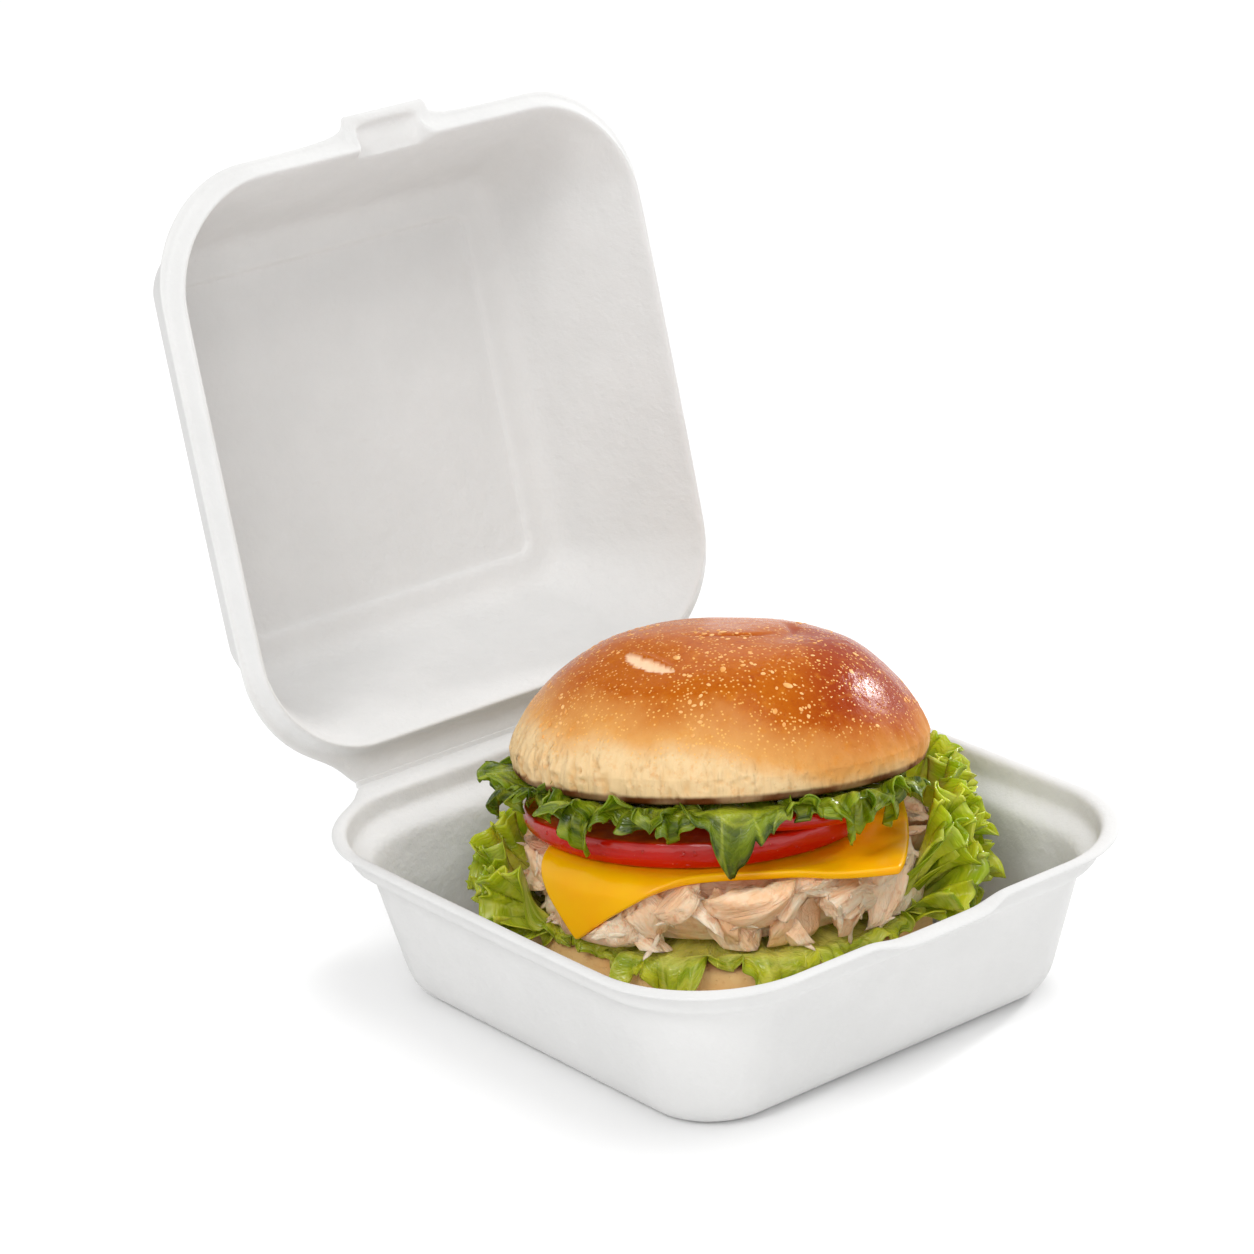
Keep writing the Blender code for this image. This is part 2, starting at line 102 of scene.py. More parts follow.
# Levels of the stack, from the heel up
HEEL_TOP = Level(0.0208, 0.060)
LOWER = Level(0.0219, 0.068)
CHICKEN_BOTTOM = Level(0.0230, 0.075)
CHICKEN_TOP = Level(0.0383, 0.105)
CHEESE_MIDDLE = Level(0.0398, 0.105)
TOMATO_BOTTOM = Level(0.0412, 0.105)
TOMATO_TOP = Level(0.0456, 0.160)
UPPER_SLICE_BOTTOM = Level(0.0461, 0.165)
UPPER_SLICE_TOP = Level(0.0499, 0.165)
UPPER = Level(0.0529, 0.194)
BUN_BOTTOM = Level(0.0546, 0.194)


# Arithmetic on arrays


def smooth_step(value: Measure, low: float, high: float) -> np.ndarray:
    """0 below low, 1 above high and an S-curve between, on numbers or arrays."""
    t = np.clip((np.asarray(value, float) - low) / (high - low), 0.0, 1.0)
    return t * t * (3.0 - 2.0 * t)


def bump_at(value: Measure, middle: Measure, width: float) -> np.ndarray:
    """A bell of height 1 round middle, on numbers or arrays."""
    return np.exp(-(((np.asarray(value, float) - middle) / width) ** 2))


def turn_from(azimuth: Measure, middle: float) -> np.ndarray:
    """Degrees from middle to azimuth the short way round."""
    return (np.asarray(azimuth, float) - middle + 180.0) % 360.0 - 180.0


def noise_at(points: np.ndarray, scale: float, seed: float = 0.0) -> np.ndarray:
    """Smooth noise from -1 to 1 at each point.

    Args:
        points: an array whose last axis is x, y, z.
        scale: how many bumps a metre has.
        seed: moves the pattern.

    Returns:
        One value for each point, in the shape of the other axes.
    """
    flat = np.asarray(points, float).reshape(-1, 3) * scale + seed
    values = np.array([noise.noise(Vector(p)) for p in flat])
    return values.reshape(np.shape(points)[:-1])


# Meshes


def grid_mesh(name: str, points: np.ndarray, closed: bool = False) -> bpy.types.Mesh:
    """A mesh of quads over a grid of points.

    Args:
        name: the mesh's name.
        points: an array of rows, columns and x, y, z.
        closed: joins the last column to the first.

    Returns:
        The mesh, with row 0 first among its vertices.
    """
    rows, columns = points.shape[:2]
    mesh = bpy.data.meshes.new(name)
    last = columns if closed else columns - 1
    i, j = np.meshgrid(np.arange(rows - 1), np.arange(last), indexing="ij")
    after = (j + 1) % columns
    here = i * columns
    next_row = (i + 1) * columns
    faces = np.stack([here + j, here + after, next_row + after, next_row + j], -1)
    mesh.from_pydata(points.reshape(-1, 3).tolist(), [], faces.reshape(-1, 4).tolist())
    return mesh


def set_value(mesh: bpy.types.Mesh, name: str, values: np.ndarray) -> None:
    """Keeps one number or one vector for each vertex under a name that materials read.

    Args:
        mesh: the mesh.
        name: the attribute's name.
        values: one number, or x, y, z, for each vertex.
    """
    values = np.asarray(values, np.float32)
    vector = values.ndim > 1 and values.shape[-1] == 3
    kind = "FLOAT_VECTOR" if vector else "FLOAT"
    layer = mesh.attributes.new(name, kind, "POINT")
    layer.data.foreach_set("vector" if vector else "value", values.ravel())


def evaluated(obj: bpy.types.Object) -> bpy.types.Mesh:
    """A new mesh of the object with its modifiers applied.

    Args:
        obj: the object, which stays as it is.

    Returns:
        The mesh.
    """
    bpy.context.view_layer.update()
    graph = bpy.context.evaluated_depsgraph_get()
    return bpy.data.meshes.new_from_object(obj.evaluated_get(graph))


def settle(obj: bpy.types.Object) -> bpy.types.Object:
    """Applies every modifier and puts the object's place into its mesh.

    Args:
        obj: the object.

    Returns:
        The same object, at the origin and without modifiers.
    """
    mesh = evaluated(obj)
    obj.modifiers.clear()
    obj.data = mesh
    mesh.transform(obj.matrix_world)
    obj.matrix_world = Matrix.Identity(4)
    mesh.shade_smooth()
    return obj


def new_object(name: str, mesh: bpy.types.Mesh, *materials: bpy.types.Material) -> bpy.types.Object:
    """An object of the mesh in the scene, with the materials in its slots.

    Args:
        name: the object's name.
        mesh: its mesh.
        *materials: one for each slot.

    Returns:
        The object, at the origin.
    """
    obj = bpy.data.objects.new(name, mesh)
    bpy.context.scene.collection.objects.link(obj)
    mesh.materials.clear()
    for material in materials:
        mesh.materials.append(material)
    mesh.shade_smooth()
    return obj


def thicken(
    obj: bpy.types.Object, thickness: float, offset: float, smooth: int = 0, even: bool = True
) -> None:
    """Gives a sheet its thickness, and then rounds it by subdivision.

    Args:
        obj: the object of the sheet.
        thickness: in metres.
        offset: -1 puts the wall behind the face, 0 half on each side.
        smooth: levels of subdivision, 0 for none.
        even: keeps the thickness at folds, which a crumpled leaf can't have without spikes.
    """
    sheet = obj.modifiers.new("sheet", "SOLIDIFY")
    sheet.thickness = thickness
    sheet.offset = offset
    sheet.use_even_offset = even
    sheet.use_quality_normals = even
    if smooth:
        rounder = obj.modifiers.new("round", "SUBSURF")
        rounder.levels = smooth
        rounder.render_levels = smooth


def joined(parts: list) -> bpy.types.Object:
    """Several finished objects as one, which keeps the first one's name.

    Args:
        parts: the objects, each with its modifiers applied.

    Returns:
        The first object, which now holds them all.
    """
    if len(parts) > 1:
        with bpy.context.temp_override(active_object=parts[0], selected_editable_objects=parts):
            bpy.ops.object.join()
    return parts[0]


def capped(mesh: bpy.types.Mesh) -> bpy.types.Mesh:
    """Closes the open ends of a mesh and turns its faces outwards.

    Args:
        mesh: a mesh whose only holes are at its ends.

    Returns:
        The same mesh, closed.
    """
    bm = bmesh.new()
    bm.from_mesh(mesh)
    bmesh.ops.holes_fill(bm, edges=[e for e in bm.edges if e.is_boundary], sides=0)
    bmesh.ops.recalc_face_normals(bm, faces=bm.faces)
    bm.to_mesh(mesh)
    bm.free()
    return mesh


def turned_grid(profile: np.ndarray, columns: int) -> np.ndarray:
    """Points of a (radius, height) profile turned about Z, one row for each point of the profile.

    Args:
        profile: the (radius, height) points.
        columns: how many points each row has.

    Returns:
        The points.
    """
    azimuth = np.linspace(-math.pi, math.pi, columns, endpoint=False)
    radius = profile[:, 0][:, None]
    x = radius * np.cos(azimuth)
    y = radius * np.sin(azimuth)
    z = np.broadcast_to(profile[:, 1][:, None], x.shape)
    return np.stack([x, y, z], -1)


def smooth_profile(points: list, steps: int) -> np.ndarray:
    """A Catmull-Rom curve through the points, with steps parts between two of them.

    Args:
        points: what the curve goes through.
        steps: how many parts lie between two of them.

    Returns:
        The curve's points.
    """
    p = np.array(points, float)
    p = np.concatenate([p[:1] * 2 - p[1:2], p, p[-1:] * 2 - p[-2:-1]])
    t = np.linspace(0.0, 1.0, steps, endpoint=False)[:, None]
    parts = []
    for a, b, c, d in zip(p, p[1:], p[2:], p[3:]):
        square = (2 * a - 5 * b + 4 * c - d) * t**2
        cube = (3 * b - a - 3 * c + d) * t**3
        parts.append(0.5 * (2 * b + (c - a) * t + square + cube))
    return np.concatenate([*parts, p[-2:-1]])


# Shader trees


class CellPlace(Enum):
    """What a pattern of cells measures: the way to a cell's middle or to its edge."""

    MIDDLE = "F1"
    EDGE = "DISTANCE_TO_EDGE"


class Graph:
    """A material's node tree with short ways to add and link nodes."""

    def __init__(self, name: str, base: tuple) -> None:
        """Starts a material whose plain colour is base.

        Args:
            name: the material's name.
            base: its plain colour.
        """
        self.material = bpy.data.materials.new(name)
        self.material.use_nodes = True
        self.material.diffuse_color = (*base, 1.0)
        self.tree = self.material.node_tree
        self.shader = self.tree.nodes["Principled BSDF"]
        self.shader.inputs["Base Color"].default_value = (*base, 1.0)
        self.place = self.add("ShaderNodeTexCoord").outputs["Object"]

    def add(self, kind: str, **settings: str) -> bpy.types.Node:
        """A new node with those settings.

        Args:
            kind: Blender's name of the node.
            **settings: its own settings.

        Returns:
            The node.
        """
        node = self.tree.nodes.new(kind)
        for name, value in settings.items():
            setattr(node, name, value)
        return node

    def feed(self, socket: Socket, value: Fed) -> None:
        """Links a socket to value, or sets it where value is a number or a colour.

        Args:
            socket: the socket that takes the value.
            value: another socket, a number, a vector or a colour.
        """
        if isinstance(value, bpy.types.NodeSocket):
            self.tree.links.new(value, socket)
        elif isinstance(value, tuple) and len(value) == 3 and socket.type == "RGBA":
            socket.default_value = (*value, 1.0)
        else:
            socket.default_value = value

    def attribute(self, name: str, vector: bool = False) -> Socket:
        """What the mesh keeps under a name."""
        node = self.add("ShaderNodeAttribute", attribute_name=name)
        return node.outputs["Vector" if vector else "Fac"]

    def stretched(self, source: Fed, scale: tuple) -> Socket:
        """Coordinates times a scale for each axis.

        Args:
            source: the coordinates.
            scale: one number for each axis.

        Returns:
            The new coordinates.
        """
        node = self.add("ShaderNodeMapping")
        self.feed(node.inputs["Vector"], source)
        node.inputs["Scale"].default_value = scale
        return node.outputs["Vector"]

    def noise(
        self, scale: float, detail: float = 2.0, rough: float = 0.5, source: Fed = None, warp: float = 0.0
    ) -> Socket:
        """Noise from 0 to 1.

        Args:
            scale: how many bumps a metre has.
            detail: how many finer layers it has.
            rough: how strong the finer layers are.
            source: coordinates other than the row frame's.
            warp: how far the noise is drawn out of shape.

        Returns:
            The noise.
        """
        node = self.add("ShaderNodeTexNoise")
        self.feed(node.inputs["Vector"], self.place if source is None else source)
        node.inputs["Scale"].default_value = scale
        node.inputs["Detail"].default_value = detail
        node.inputs["Roughness"].default_value = rough
        node.inputs["Distortion"].default_value = warp
        return node.outputs["Fac"]

    def cells(self, scale: float, to: CellPlace = CellPlace.MIDDLE, source: Fed = None) -> Socket:
        """Distance in a pattern of cells.

        Args:
            scale: how many cells a metre has.
            to: what the distance is measured to.
            source: coordinates other than the row frame's.

        Returns:
            The distance, as a share of a cell.
        """
        node = self.add("ShaderNodeTexVoronoi", feature=to.value)
        self.feed(node.inputs["Vector"], self.place if source is None else source)
        node.inputs["Scale"].default_value = scale
        return node.outputs["Distance"]

    def sum(self, operation: str, a: Fed, b: Fed) -> Socket:
        """One sum of two values, named as Blender names it.

        Args:
            operation: ADD, MULTIPLY or MAXIMUM.
            a: the first value.
            b: the second value.

        Returns:
            The result.
        """
        node = self.add("ShaderNodeMath", operation=operation)
        self.feed(node.inputs[0], a)
        self.feed(node.inputs[1], b)
        return node.outputs[0]

    def between(
        self, value: Fed, low: float, high: float, to_low: float = 0.0, to_high: float = 1.0
    ) -> Socket:
        """Value moved smoothly from one range to another, and held at both ends.

        Args:
            value: what is moved.
            low: where its range starts.
            high: where its range ends.
            to_low: the result at low and below it.
            to_high: the result at high and above it.

        Returns:
            The new value.
        """
        node = self.add("ShaderNodeMapRange", interpolation_type="SMOOTHSTEP")
        self.feed(node.inputs["Value"], value)
        node.inputs["From Min"].default_value = low
        node.inputs["From Max"].default_value = high
        node.inputs["To Min"].default_value = to_low
        node.inputs["To Max"].default_value = to_high
        return node.outputs["Result"]

    def ramp(self, value: Fed, stops: tuple) -> Socket:
        """A colour along a ramp.

        Args:
            value: the place on the ramp.
            stops: a (place, colour) for each stop.

        Returns:
            The colour.
        """
        node = self.add("ShaderNodeValToRGB")
        self.feed(node.inputs["Fac"], value)
        line = node.color_ramp.elements
        while len(line) < len(stops):
            line.new(0.5)
        for element, (place, colour) in zip(line, stops):
            element.position = place
            element.color = (*colour, 1.0)
        return node.outputs["Color"]

    def mix(self, share: Fed, a: Fed, b: Fed) -> Socket:
        """Colour a turning into colour b.

        Args:
            share: 0 for a, 1 for b.
            a: the first colour.
            b: the second colour.

        Returns:
            The mixed colour.
        """
        node = self.add("ShaderNodeMix", data_type="RGBA")
        self.feed(node.inputs[0], share)
        self.feed(node.inputs[6], a)
        self.feed(node.inputs[7], b)
        return node.outputs[2]

    def relief(self, height: Fed, depth: float, before: Fed = None) -> Socket:
        """A bump on the surface, on top of an earlier one.

        Args:
            height: from 0 to 1.
            depth: metres for a height of 1.
            before: the earlier bump.

        Returns:
            The bumped normal.
        """
        node = self.add("ShaderNodeBump")
        self.feed(node.inputs["Height"], height)
        node.inputs["Distance"].default_value = depth
        if before is not None:
            self.feed(node.inputs["Normal"], before)
        return node.outputs["Normal"]

    def finish(self, colour: Fed, rough: Fed, normal: Fed = None, **constants: Fed) -> bpy.types.Material:
        """Links the shader's main sockets and sets the others.

        Args:
            colour: socket for the base colour.
            rough: socket or number for the roughness.
            normal: socket for the normal.
            **constants: a number or colour for each other socket, underscores for spaces.

        Returns:
            The material.
        """
        for name, value in (("Base Color", colour), ("Roughness", rough), ("Normal", normal)):
            if value is not None:
                self.feed(self.shader.inputs[name], value)
        for name, value in constants.items():
            self.feed(self.shader.inputs[name.replace("_", " ")], value)
        return self.material


# Strewn pieces


@dataclass(frozen=True)
class Scatter:
    """Copies of a small piece strewn over a surface by a Geometry Nodes tree.

    The surface keeps the attribute strew, from 0 for none to 1 for the full density of copies on a
    square metre. A copy is between smallest and largest times the piece, spun about the surface's
    normal and tilted from it by up to tilt, in radians.
    """

    name: str
    density: float
    smallest: float
    largest: float
    seed: int
    tilt: float = 0.12

    def tree(self, piece: bpy.types.Object, material: bpy.types.Material) -> bpy.types.NodeTree:
        """The tree: points on the faces, a turned copy on each, made real and given its material.

        Args:
            piece: what is strewn, with its back on its own XY plane.
            material: its finish.

        Returns:
            The tree, whose named inputs are Density, Smallest, Largest and Seed.
        """
        tree = bpy.data.node_groups.new(self.name, "GeometryNodeTree")
        face = tree.interface
        face.new_socket("Surface", in_out="INPUT", socket_type="NodeSocketGeometry")
        for name in ("Density", "Smallest", "Largest"):
            face.new_socket(name, in_out="INPUT", socket_type="NodeSocketFloat")
        face.new_socket("Seed", in_out="INPUT", socket_type="NodeSocketInt")
        face.new_socket("Strewn", in_out="OUTPUT", socket_type="NodeSocketGeometry")
        new = tree.nodes.new
        link = tree.links.new
        given = new("NodeGroupInput")
        out = new("NodeGroupOutput")
        mask = new("GeometryNodeInputNamedAttribute")
        mask.inputs["Name"].default_value = "strew"
        share = new("ShaderNodeMath")
        share.operation = "MULTIPLY"
        link(mask.outputs["Attribute"], share.inputs[0])
        link(given.outputs["Density"], share.inputs[1])
        points = new("GeometryNodeDistributePointsOnFaces")
        link(given.outputs["Surface"], points.inputs["Mesh"])
        link(share.outputs[0], points.inputs["Density"])
        link(given.outputs["Seed"], points.inputs["Seed"])
        spin = new("FunctionNodeRandomValue")
        spin.data_type = "FLOAT_VECTOR"
        spin.inputs[0].default_value = (-self.tilt, -self.tilt, -math.pi)
        spin.inputs[1].default_value = (self.tilt, self.tilt, math.pi)
        link(given.outputs["Seed"], spin.inputs["Seed"])
        turn = new("FunctionNodeRotateRotation")
        turn.rotation_space = "LOCAL"
        link(points.outputs["Rotation"], turn.inputs["Rotation"])
        as_turn = new("FunctionNodeEulerToRotation")
        link(spin.outputs[0], as_turn.inputs[0])
        link(as_turn.outputs[0], turn.inputs["Rotate By"])
        size = new("FunctionNodeRandomValue")
        size.data_type = "FLOAT"
        link(given.outputs["Smallest"], size.inputs[2])
        link(given.outputs["Largest"], size.inputs[3])
        link(given.outputs["Seed"], size.inputs["Seed"])
        source = new("GeometryNodeObjectInfo")
        source.inputs["Object"].default_value = piece
        copies = new("GeometryNodeInstanceOnPoints")
        link(points.outputs["Points"], copies.inputs["Points"])
        link(source.outputs["Geometry"], copies.inputs["Instance"])
        link(turn.outputs["Rotation"], copies.inputs["Rotation"])
        link(size.outputs[1], copies.inputs["Scale"])
        real = new("GeometryNodeRealizeInstances")
        link(copies.outputs["Instances"], real.inputs["Geometry"])
        dress = new("GeometryNodeSetMaterial")
        dress.inputs["Material"].default_value = material
        link(real.outputs["Geometry"], dress.inputs["Geometry"])
        link(dress.outputs["Geometry"], out.inputs["Strewn"])
        return tree

    def over(
        self, surface: bpy.types.Object, piece: bpy.types.Mesh, material: bpy.types.Material
    ) -> bpy.types.Object:
        """Strews the piece over the surface and makes the copies one plain object.

        Args:
            surface: a finished piece whose mesh keeps strew.
            piece: the small mesh, which isn't kept.
            material: its finish.

        Returns:
            The new object, at the origin.
        """
        holder = new_object(self.name + "_piece", piece, material)
        obj = new_object(self.name, surface.data.copy(), material)
        nodes = obj.modifiers.new("strewn", "NODES")
        nodes.node_group = self.tree(holder, material)
        values = {
            "Density": self.density,
            "Smallest": self.smallest,
            "Largest": self.largest,
            "Seed": self.seed,
        }
        for socket in nodes.node_group.interface.items_tree:
            if socket.name in values and socket.in_out == "INPUT":
                nodes[socket.identifier] = values[socket.name]
        settle(obj)
        bpy.data.objects.remove(holder, do_unlink=True)
        return obj


def bead_mesh(flat: float) -> bpy.types.Mesh:
    """A small bead of width 1, flattened, longer along X.

    Args:
        flat: its height against its width.

    Returns:
        The mesh.
    """
    columns = 8
    rings = 4
    fall = np.linspace(0.0, math.pi, rings + 2)[1:-1]
    profile = 0.5 * np.stack([np.sin(fall), np.cos(fall) * flat], -1)
    places = (turned_grid(profile, columns) * (1.5, 1.0, 1.0)).reshape(-1, 3).tolist()
    top = len(places)
    bottom = top + 1
    places += [(0.0, 0.0, 0.5 * flat), (0.0, 0.0, -0.5 * flat)]
    last = (rings - 1) * columns
    faces = []
    for k in range(columns):
        after = (k + 1) % columns
        faces.append((top, k, after))
        faces.append((last + k, bottom, last + after))
        for here in range(0, last, columns):
            below = here + columns
            faces.append((here + k, below + k, below + after, here + after))
    mesh = bpy.data.meshes.new("bead")
    mesh.from_pydata(places, [], faces)
    return mesh


def shred_mesh(rng: random.Random) -> bpy.types.Mesh:
    """A torn strip of meat of length 1 along X, with its ends bent down into the surface.

    Args:
        rng: random numbers for its width.

    Returns:
        The mesh, which keeps fibre and tint.
    """
    along = np.linspace(-0.5, 0.5, 9)
    around = np.linspace(0.0, math.tau, 6, endpoint=False)
    uneven = [rng.uniform(0.7, 1.2) for _ in along]
    width = 0.13 * np.sqrt(np.clip(1.02 - (2 * along) ** 4, 0.0, 1.0)) * uneven
    points = np.zeros((len(along), len(around), 3))
    points[..., 0] = along[:, None] + 0.03 * np.cos(around)
    points[..., 1] = width[:, None] * np.cos(around) + 0.10 * np.sin(3.0 * along)[:, None]
    points[..., 2] = 0.55 * width[:, None] * np.sin(around) + 0.05 - 0.55 * (along**2)[:, None]
    mesh = capped(grid_mesh("shred", points, closed=True))
    flat = points.reshape(-1, 3)
    set_value(mesh, "fibre", flat * 0.012)
    set_value(mesh, "tint", np.full(len(flat), 0.75))
    return mesh


# Finishes


@dataclass(frozen=True)
class PulpFinish:
    """White moulded pulp: matt, softly uneven, with fine fibres."""

    base: tuple = (0.695, 0.692, 0.684)
    cool: tuple = (0.670, 0.668, 0.660)
    fibre: tuple = (0.60, 0.59, 0.56)

    def material(self, name: str) -> bpy.types.Material:
        """The material, patterned in the row frame.

        Args:
            name: the material's name.

        Returns:
            The material.
        """
        g = Graph(name, self.base)
        clouds = g.noise(55.0, 4.0, 0.55)
        fibres = g.noise(900.0, 3.0, 0.65, warp=0.8)
        colour = g.mix(g.between(clouds, 0.30, 0.72), self.cool, self.base)
        colour = g.mix(g.between(fibres, 0.60, 0.80, 0.0, 0.10), colour, self.fibre)
        soft = g.relief(clouds, 0.0010)
        grain = g.relief(g.noise(420.0, 3.0, 0.6), 0.00016, soft)
        fine = g.relief(fibres, 0.00008, grain)
        rough = g.between(fibres, 0.2, 0.8, 0.72, 0.88)
        return g.finish(colour, rough, fine, Specular_IOR_Level=0.3)


@dataclass(frozen=True)
class CrustFinish:
    """The top bun's baked crust: cream at its foot, golden above it, redder towards one side."""

    cream: tuple = (0.75, 0.54, 0.29)
    honey: tuple = (0.66, 0.32, 0.090)
    golden: tuple = (0.45, 0.104, 0.001)
    russet: tuple = (0.30, 0.033, 0.001)
    toast: tuple = (0.100, 0.025, 0.004)
    streak: tuple = (0.62, 0.215, 0.015)
    gash: tuple = (0.90, 0.60, 0.38)
    blister: tuple = (0.82, 0.44, 0.12)
    # Darker tan for the foot's pleats: painted shade in their creases
    pleat: tuple = (0.68, 0.39, 0.140)

    def material(self, name: str) -> bpy.types.Material:
        """The material, which reads the crust's own attributes rise, warmth, gash, fold and toast.

        Args:
            name: the material's name.

        Returns:
            The material.
        """
        g = Graph(name, self.golden)
        patch = g.noise(70.0, 4.0, 0.6)
        warmth = g.attribute("warmth")
        rise = g.sum("ADD", g.attribute("rise"), g.between(patch, 0.25, 0.75, -0.06, 0.06))
        baked = g.sum("ADD", rise, g.between(warmth, 0.05, 0.5, -0.22, 0.0))
        baked = g.sum("ADD", baked, g.between(warmth, 0.5, 1.0, 0.0, 0.13))
        colour = g.ramp(
            baked, ((0.09, self.cream), (0.24, self.honey), (0.52, self.golden), (0.84, self.golden))
        )
        warm = g.sum("MULTIPLY", g.between(warmth, 0.35, 1.0), g.between(rise, 0.22, 0.60))
        warm = g.sum("MULTIPLY", warm, g.between(patch, 0.25, 0.70, 0.70, 1.0))
        colour = g.mix(g.between(warm, 0.0, 0.85), colour, self.russet)
        streak = g.noise(260.0, 4.0, 0.65)
        colour = g.mix(g.between(streak, 0.52, 0.74, 0.0, 0.45), colour, self.streak)
        skin = g.noise(1500.0, 3.0, 0.6)
        dark = g.between(streak, 0.26, 0.46, 0.55, 0.0)
        dark = g.sum("MAXIMUM", dark, g.between(skin, 0.30, 0.46, 0.35, 0.0))
        colour = g.mix(g.sum("MULTIPLY", dark, g.between(baked, 0.30, 0.60)), colour, self.russet)
        foot = g.between(baked, 0.10, 0.34, 1.0, 0.0)
        # The foot is darkened where its pleats lie low: painted shade in the creases
        pleats = g.noise(1.0, 3.0, 0.55, source=g.stretched(g.place, (190.0, 190.0, 30.0)))
        shade = g.sum("MAXIMUM", g.between(pleats, 0.30, 0.46, 0.40, 0.0), g.attribute("pleat"))
        shade = g.sum("MULTIPLY", foot, shade)
        colour = g.mix(g.sum("MULTIPLY", shade, 0.50), colour, self.pleat)
        fine = g.cells(900.0)
        bold = g.cells(380.0)
        where = g.between(g.noise(150.0, 3.0, 0.6), 0.32, 0.52)
        pale = g.sum("MULTIPLY", g.between(fine, 0.16, 0.30, 0.95, 0.0), where)
        pale = g.sum("MAXIMUM", pale, g.sum("MULTIPLY", g.between(bold, 0.07, 0.15, 0.85, 0.0), where))
        pale = g.sum("MULTIPLY", pale, g.between(rise, 0.22, 0.42))
        colour = g.mix(pale, colour, self.blister)
        # Russet along the crease: painted shade in the fold
        colour = g.mix(g.attribute("fold"), colour, self.russet)
        colour = g.mix(g.attribute("gash"), colour, self.gash)
        colour = g.mix(g.attribute("toast"), colour, self.toast)
        bumps = g.relief(g.noise(330.0, 4.0, 0.55), 0.00020)
        bumps = g.relief(g.sum("MULTIPLY", g.between(pleats, 0.28, 0.60), foot), 0.00065, bumps)
        bumps = g.relief(g.between(fine, 0.05, 0.34, 1.0, 0.0), 0.00006, bumps)
        bumps = g.relief(g.between(bold, 0.03, 0.20, 1.0, 0.0), 0.00010, bumps)
        bumps = g.relief(skin, 0.00003, bumps)
        shine = g.sum("ADD", g.between(rise, 0.20, 0.60, 0.60, 0.23), g.between(skin, 0.3, 0.7, -0.04, 0.04))
        return g.finish(
            colour,
            shine,
            bumps,
            Specular_IOR_Level=0.09,
            Subsurface_Weight=0.05,
            Subsurface_Scale=0.003,
            Subsurface_Radius=(1.0, 0.5, 0.25),
        )


@dataclass(frozen=True)
class BlisterFinish:
    """Small pale blisters of the crust, where the dough's skin has puffed up."""

    pale: tuple = (0.86, 0.50, 0.19)
    deep: tuple = (0.74, 0.32, 0.07)

    def material(self, name: str) -> bpy.types.Material:
        """The material, mottled in the row frame.

        Args:
            name: the material's name.

        Returns:
            The material.
        """
        g = Graph(name, self.pale)
        colour = g.mix(g.between(g.noise(260.0, 3.0, 0.6), 0.35, 0.65), self.pale, self.deep)
        return g.finish(colour, 0.42, g.relief(g.noise(1600.0), 0.00003), Specular_IOR_Level=0.25)


@dataclass(frozen=True)
class CrumbFinish:
    """Pale bread: the bottom bun's side, with fine pores and a toasted rim."""

    cream: tuple = (0.95, 0.61, 0.26)
    honey: tuple = (0.84, 0.39, 0.10)
    toast: tuple = (0.30, 0.085, 0.014)

    def material(self, name: str) -> bpy.types.Material:
        """The material, which reads the attribute toast.

        Args:
            name: the material's name.

        Returns:
            The material.
        """
        g = Graph(name, self.cream)
        patch = g.noise(90.0, 4.0, 0.6)
        colour = g.mix(g.between(patch, 0.35, 0.75, 0.0, 0.75), self.cream, self.honey)
        pores = g.cells(900.0)
        # Honey in the middle of each pore: painted shade in the holes
        colour = g.mix(g.between(pores, 0.0, 0.22, 0.45, 0.0), colour, self.honey)
        colour = g.mix(g.attribute("toast"), colour, self.toast)
        bumps = g.relief(g.noise(420.0, 4.0, 0.6), 0.0003)
        bumps = g.relief(g.between(pores, 0.0, 0.35), 0.00012, bumps)
        return g.finish(
            colour,
            0.62,
            bumps,
            Subsurface_Weight=0.12,
            Subsurface_Scale=0.004,
            Subsurface_Radius=(1.0, 0.6, 0.35),
        )


class LeafTone(Enum):
    """Which lettuce a leaf is: the deep green of the upper layer, or the bright green of the lower one."""

    DEEP = ((0.030, 0.058, 0.0005), (0.185, 0.250, 0.002), (0.52, 0.56, 0.040))
    BRIGHT = ((0.250, 0.340, 0.004), (0.560, 0.600, 0.020), (0.82, 0.82, 0.20))


@dataclass(frozen=True)
class LettuceFinish:
    """A crisp leaf: puckered between pale veins, darker towards its frill."""

    tone: LeafTone

    def material(self, name: str) -> bpy.types.Material:
        """The material, which reads the attributes sheet (along, across, 0) and frill.

        Args:
            name: the material's name.

        Returns:
            The material.
        """
        dark, light, rib = self.tone.value
        g = Graph(name, light)
        sheet = g.attribute("sheet", vector=True)
        bent = g.noise(130.0, 3.0, 0.55, source=sheet)
        warped = g.noise(90.0, 2.0, 0.5, source=sheet)
        ribs = g.cells(150.0, CellPlace.EDGE, source=g.stretched(sheet, (1.0, 0.30, 1.0)))
        fine = g.cells(520.0, CellPlace.EDGE, source=sheet)
        frill = g.attribute("frill")
        colour = g.mix(g.between(bent, 0.32, 0.68), dark, light)
        colour = g.mix(g.between(frill, 0.05, 0.65, 0.60, 0.0), colour, rib)
        colour = g.mix(g.between(ribs, 0.0, 0.07, 0.30, 0.0), colour, rib)
        colour = g.mix(g.between(fine, 0.0, 0.05, 0.10, 0.0), colour, rib)
        colour = g.mix(g.between(warped, 0.55, 0.75, 0.0, 0.35), colour, rib)
        pucker = g.relief(g.between(ribs, 0.0, 0.35), 0.00040)
        pucker = g.relief(bent, 0.00080, pucker)
        pucker = g.relief(g.between(fine, 0.0, 0.20), 0.00006, pucker)
        return g.finish(
            colour,
            g.between(bent, 0.3, 0.7, 0.17, 0.30),
            pucker,
            Specular_IOR_Level=0.42,
            Subsurface_Weight=0.25,
            Subsurface_Scale=0.002,
            Subsurface_Radius=(0.6, 1.0, 0.05),
        )


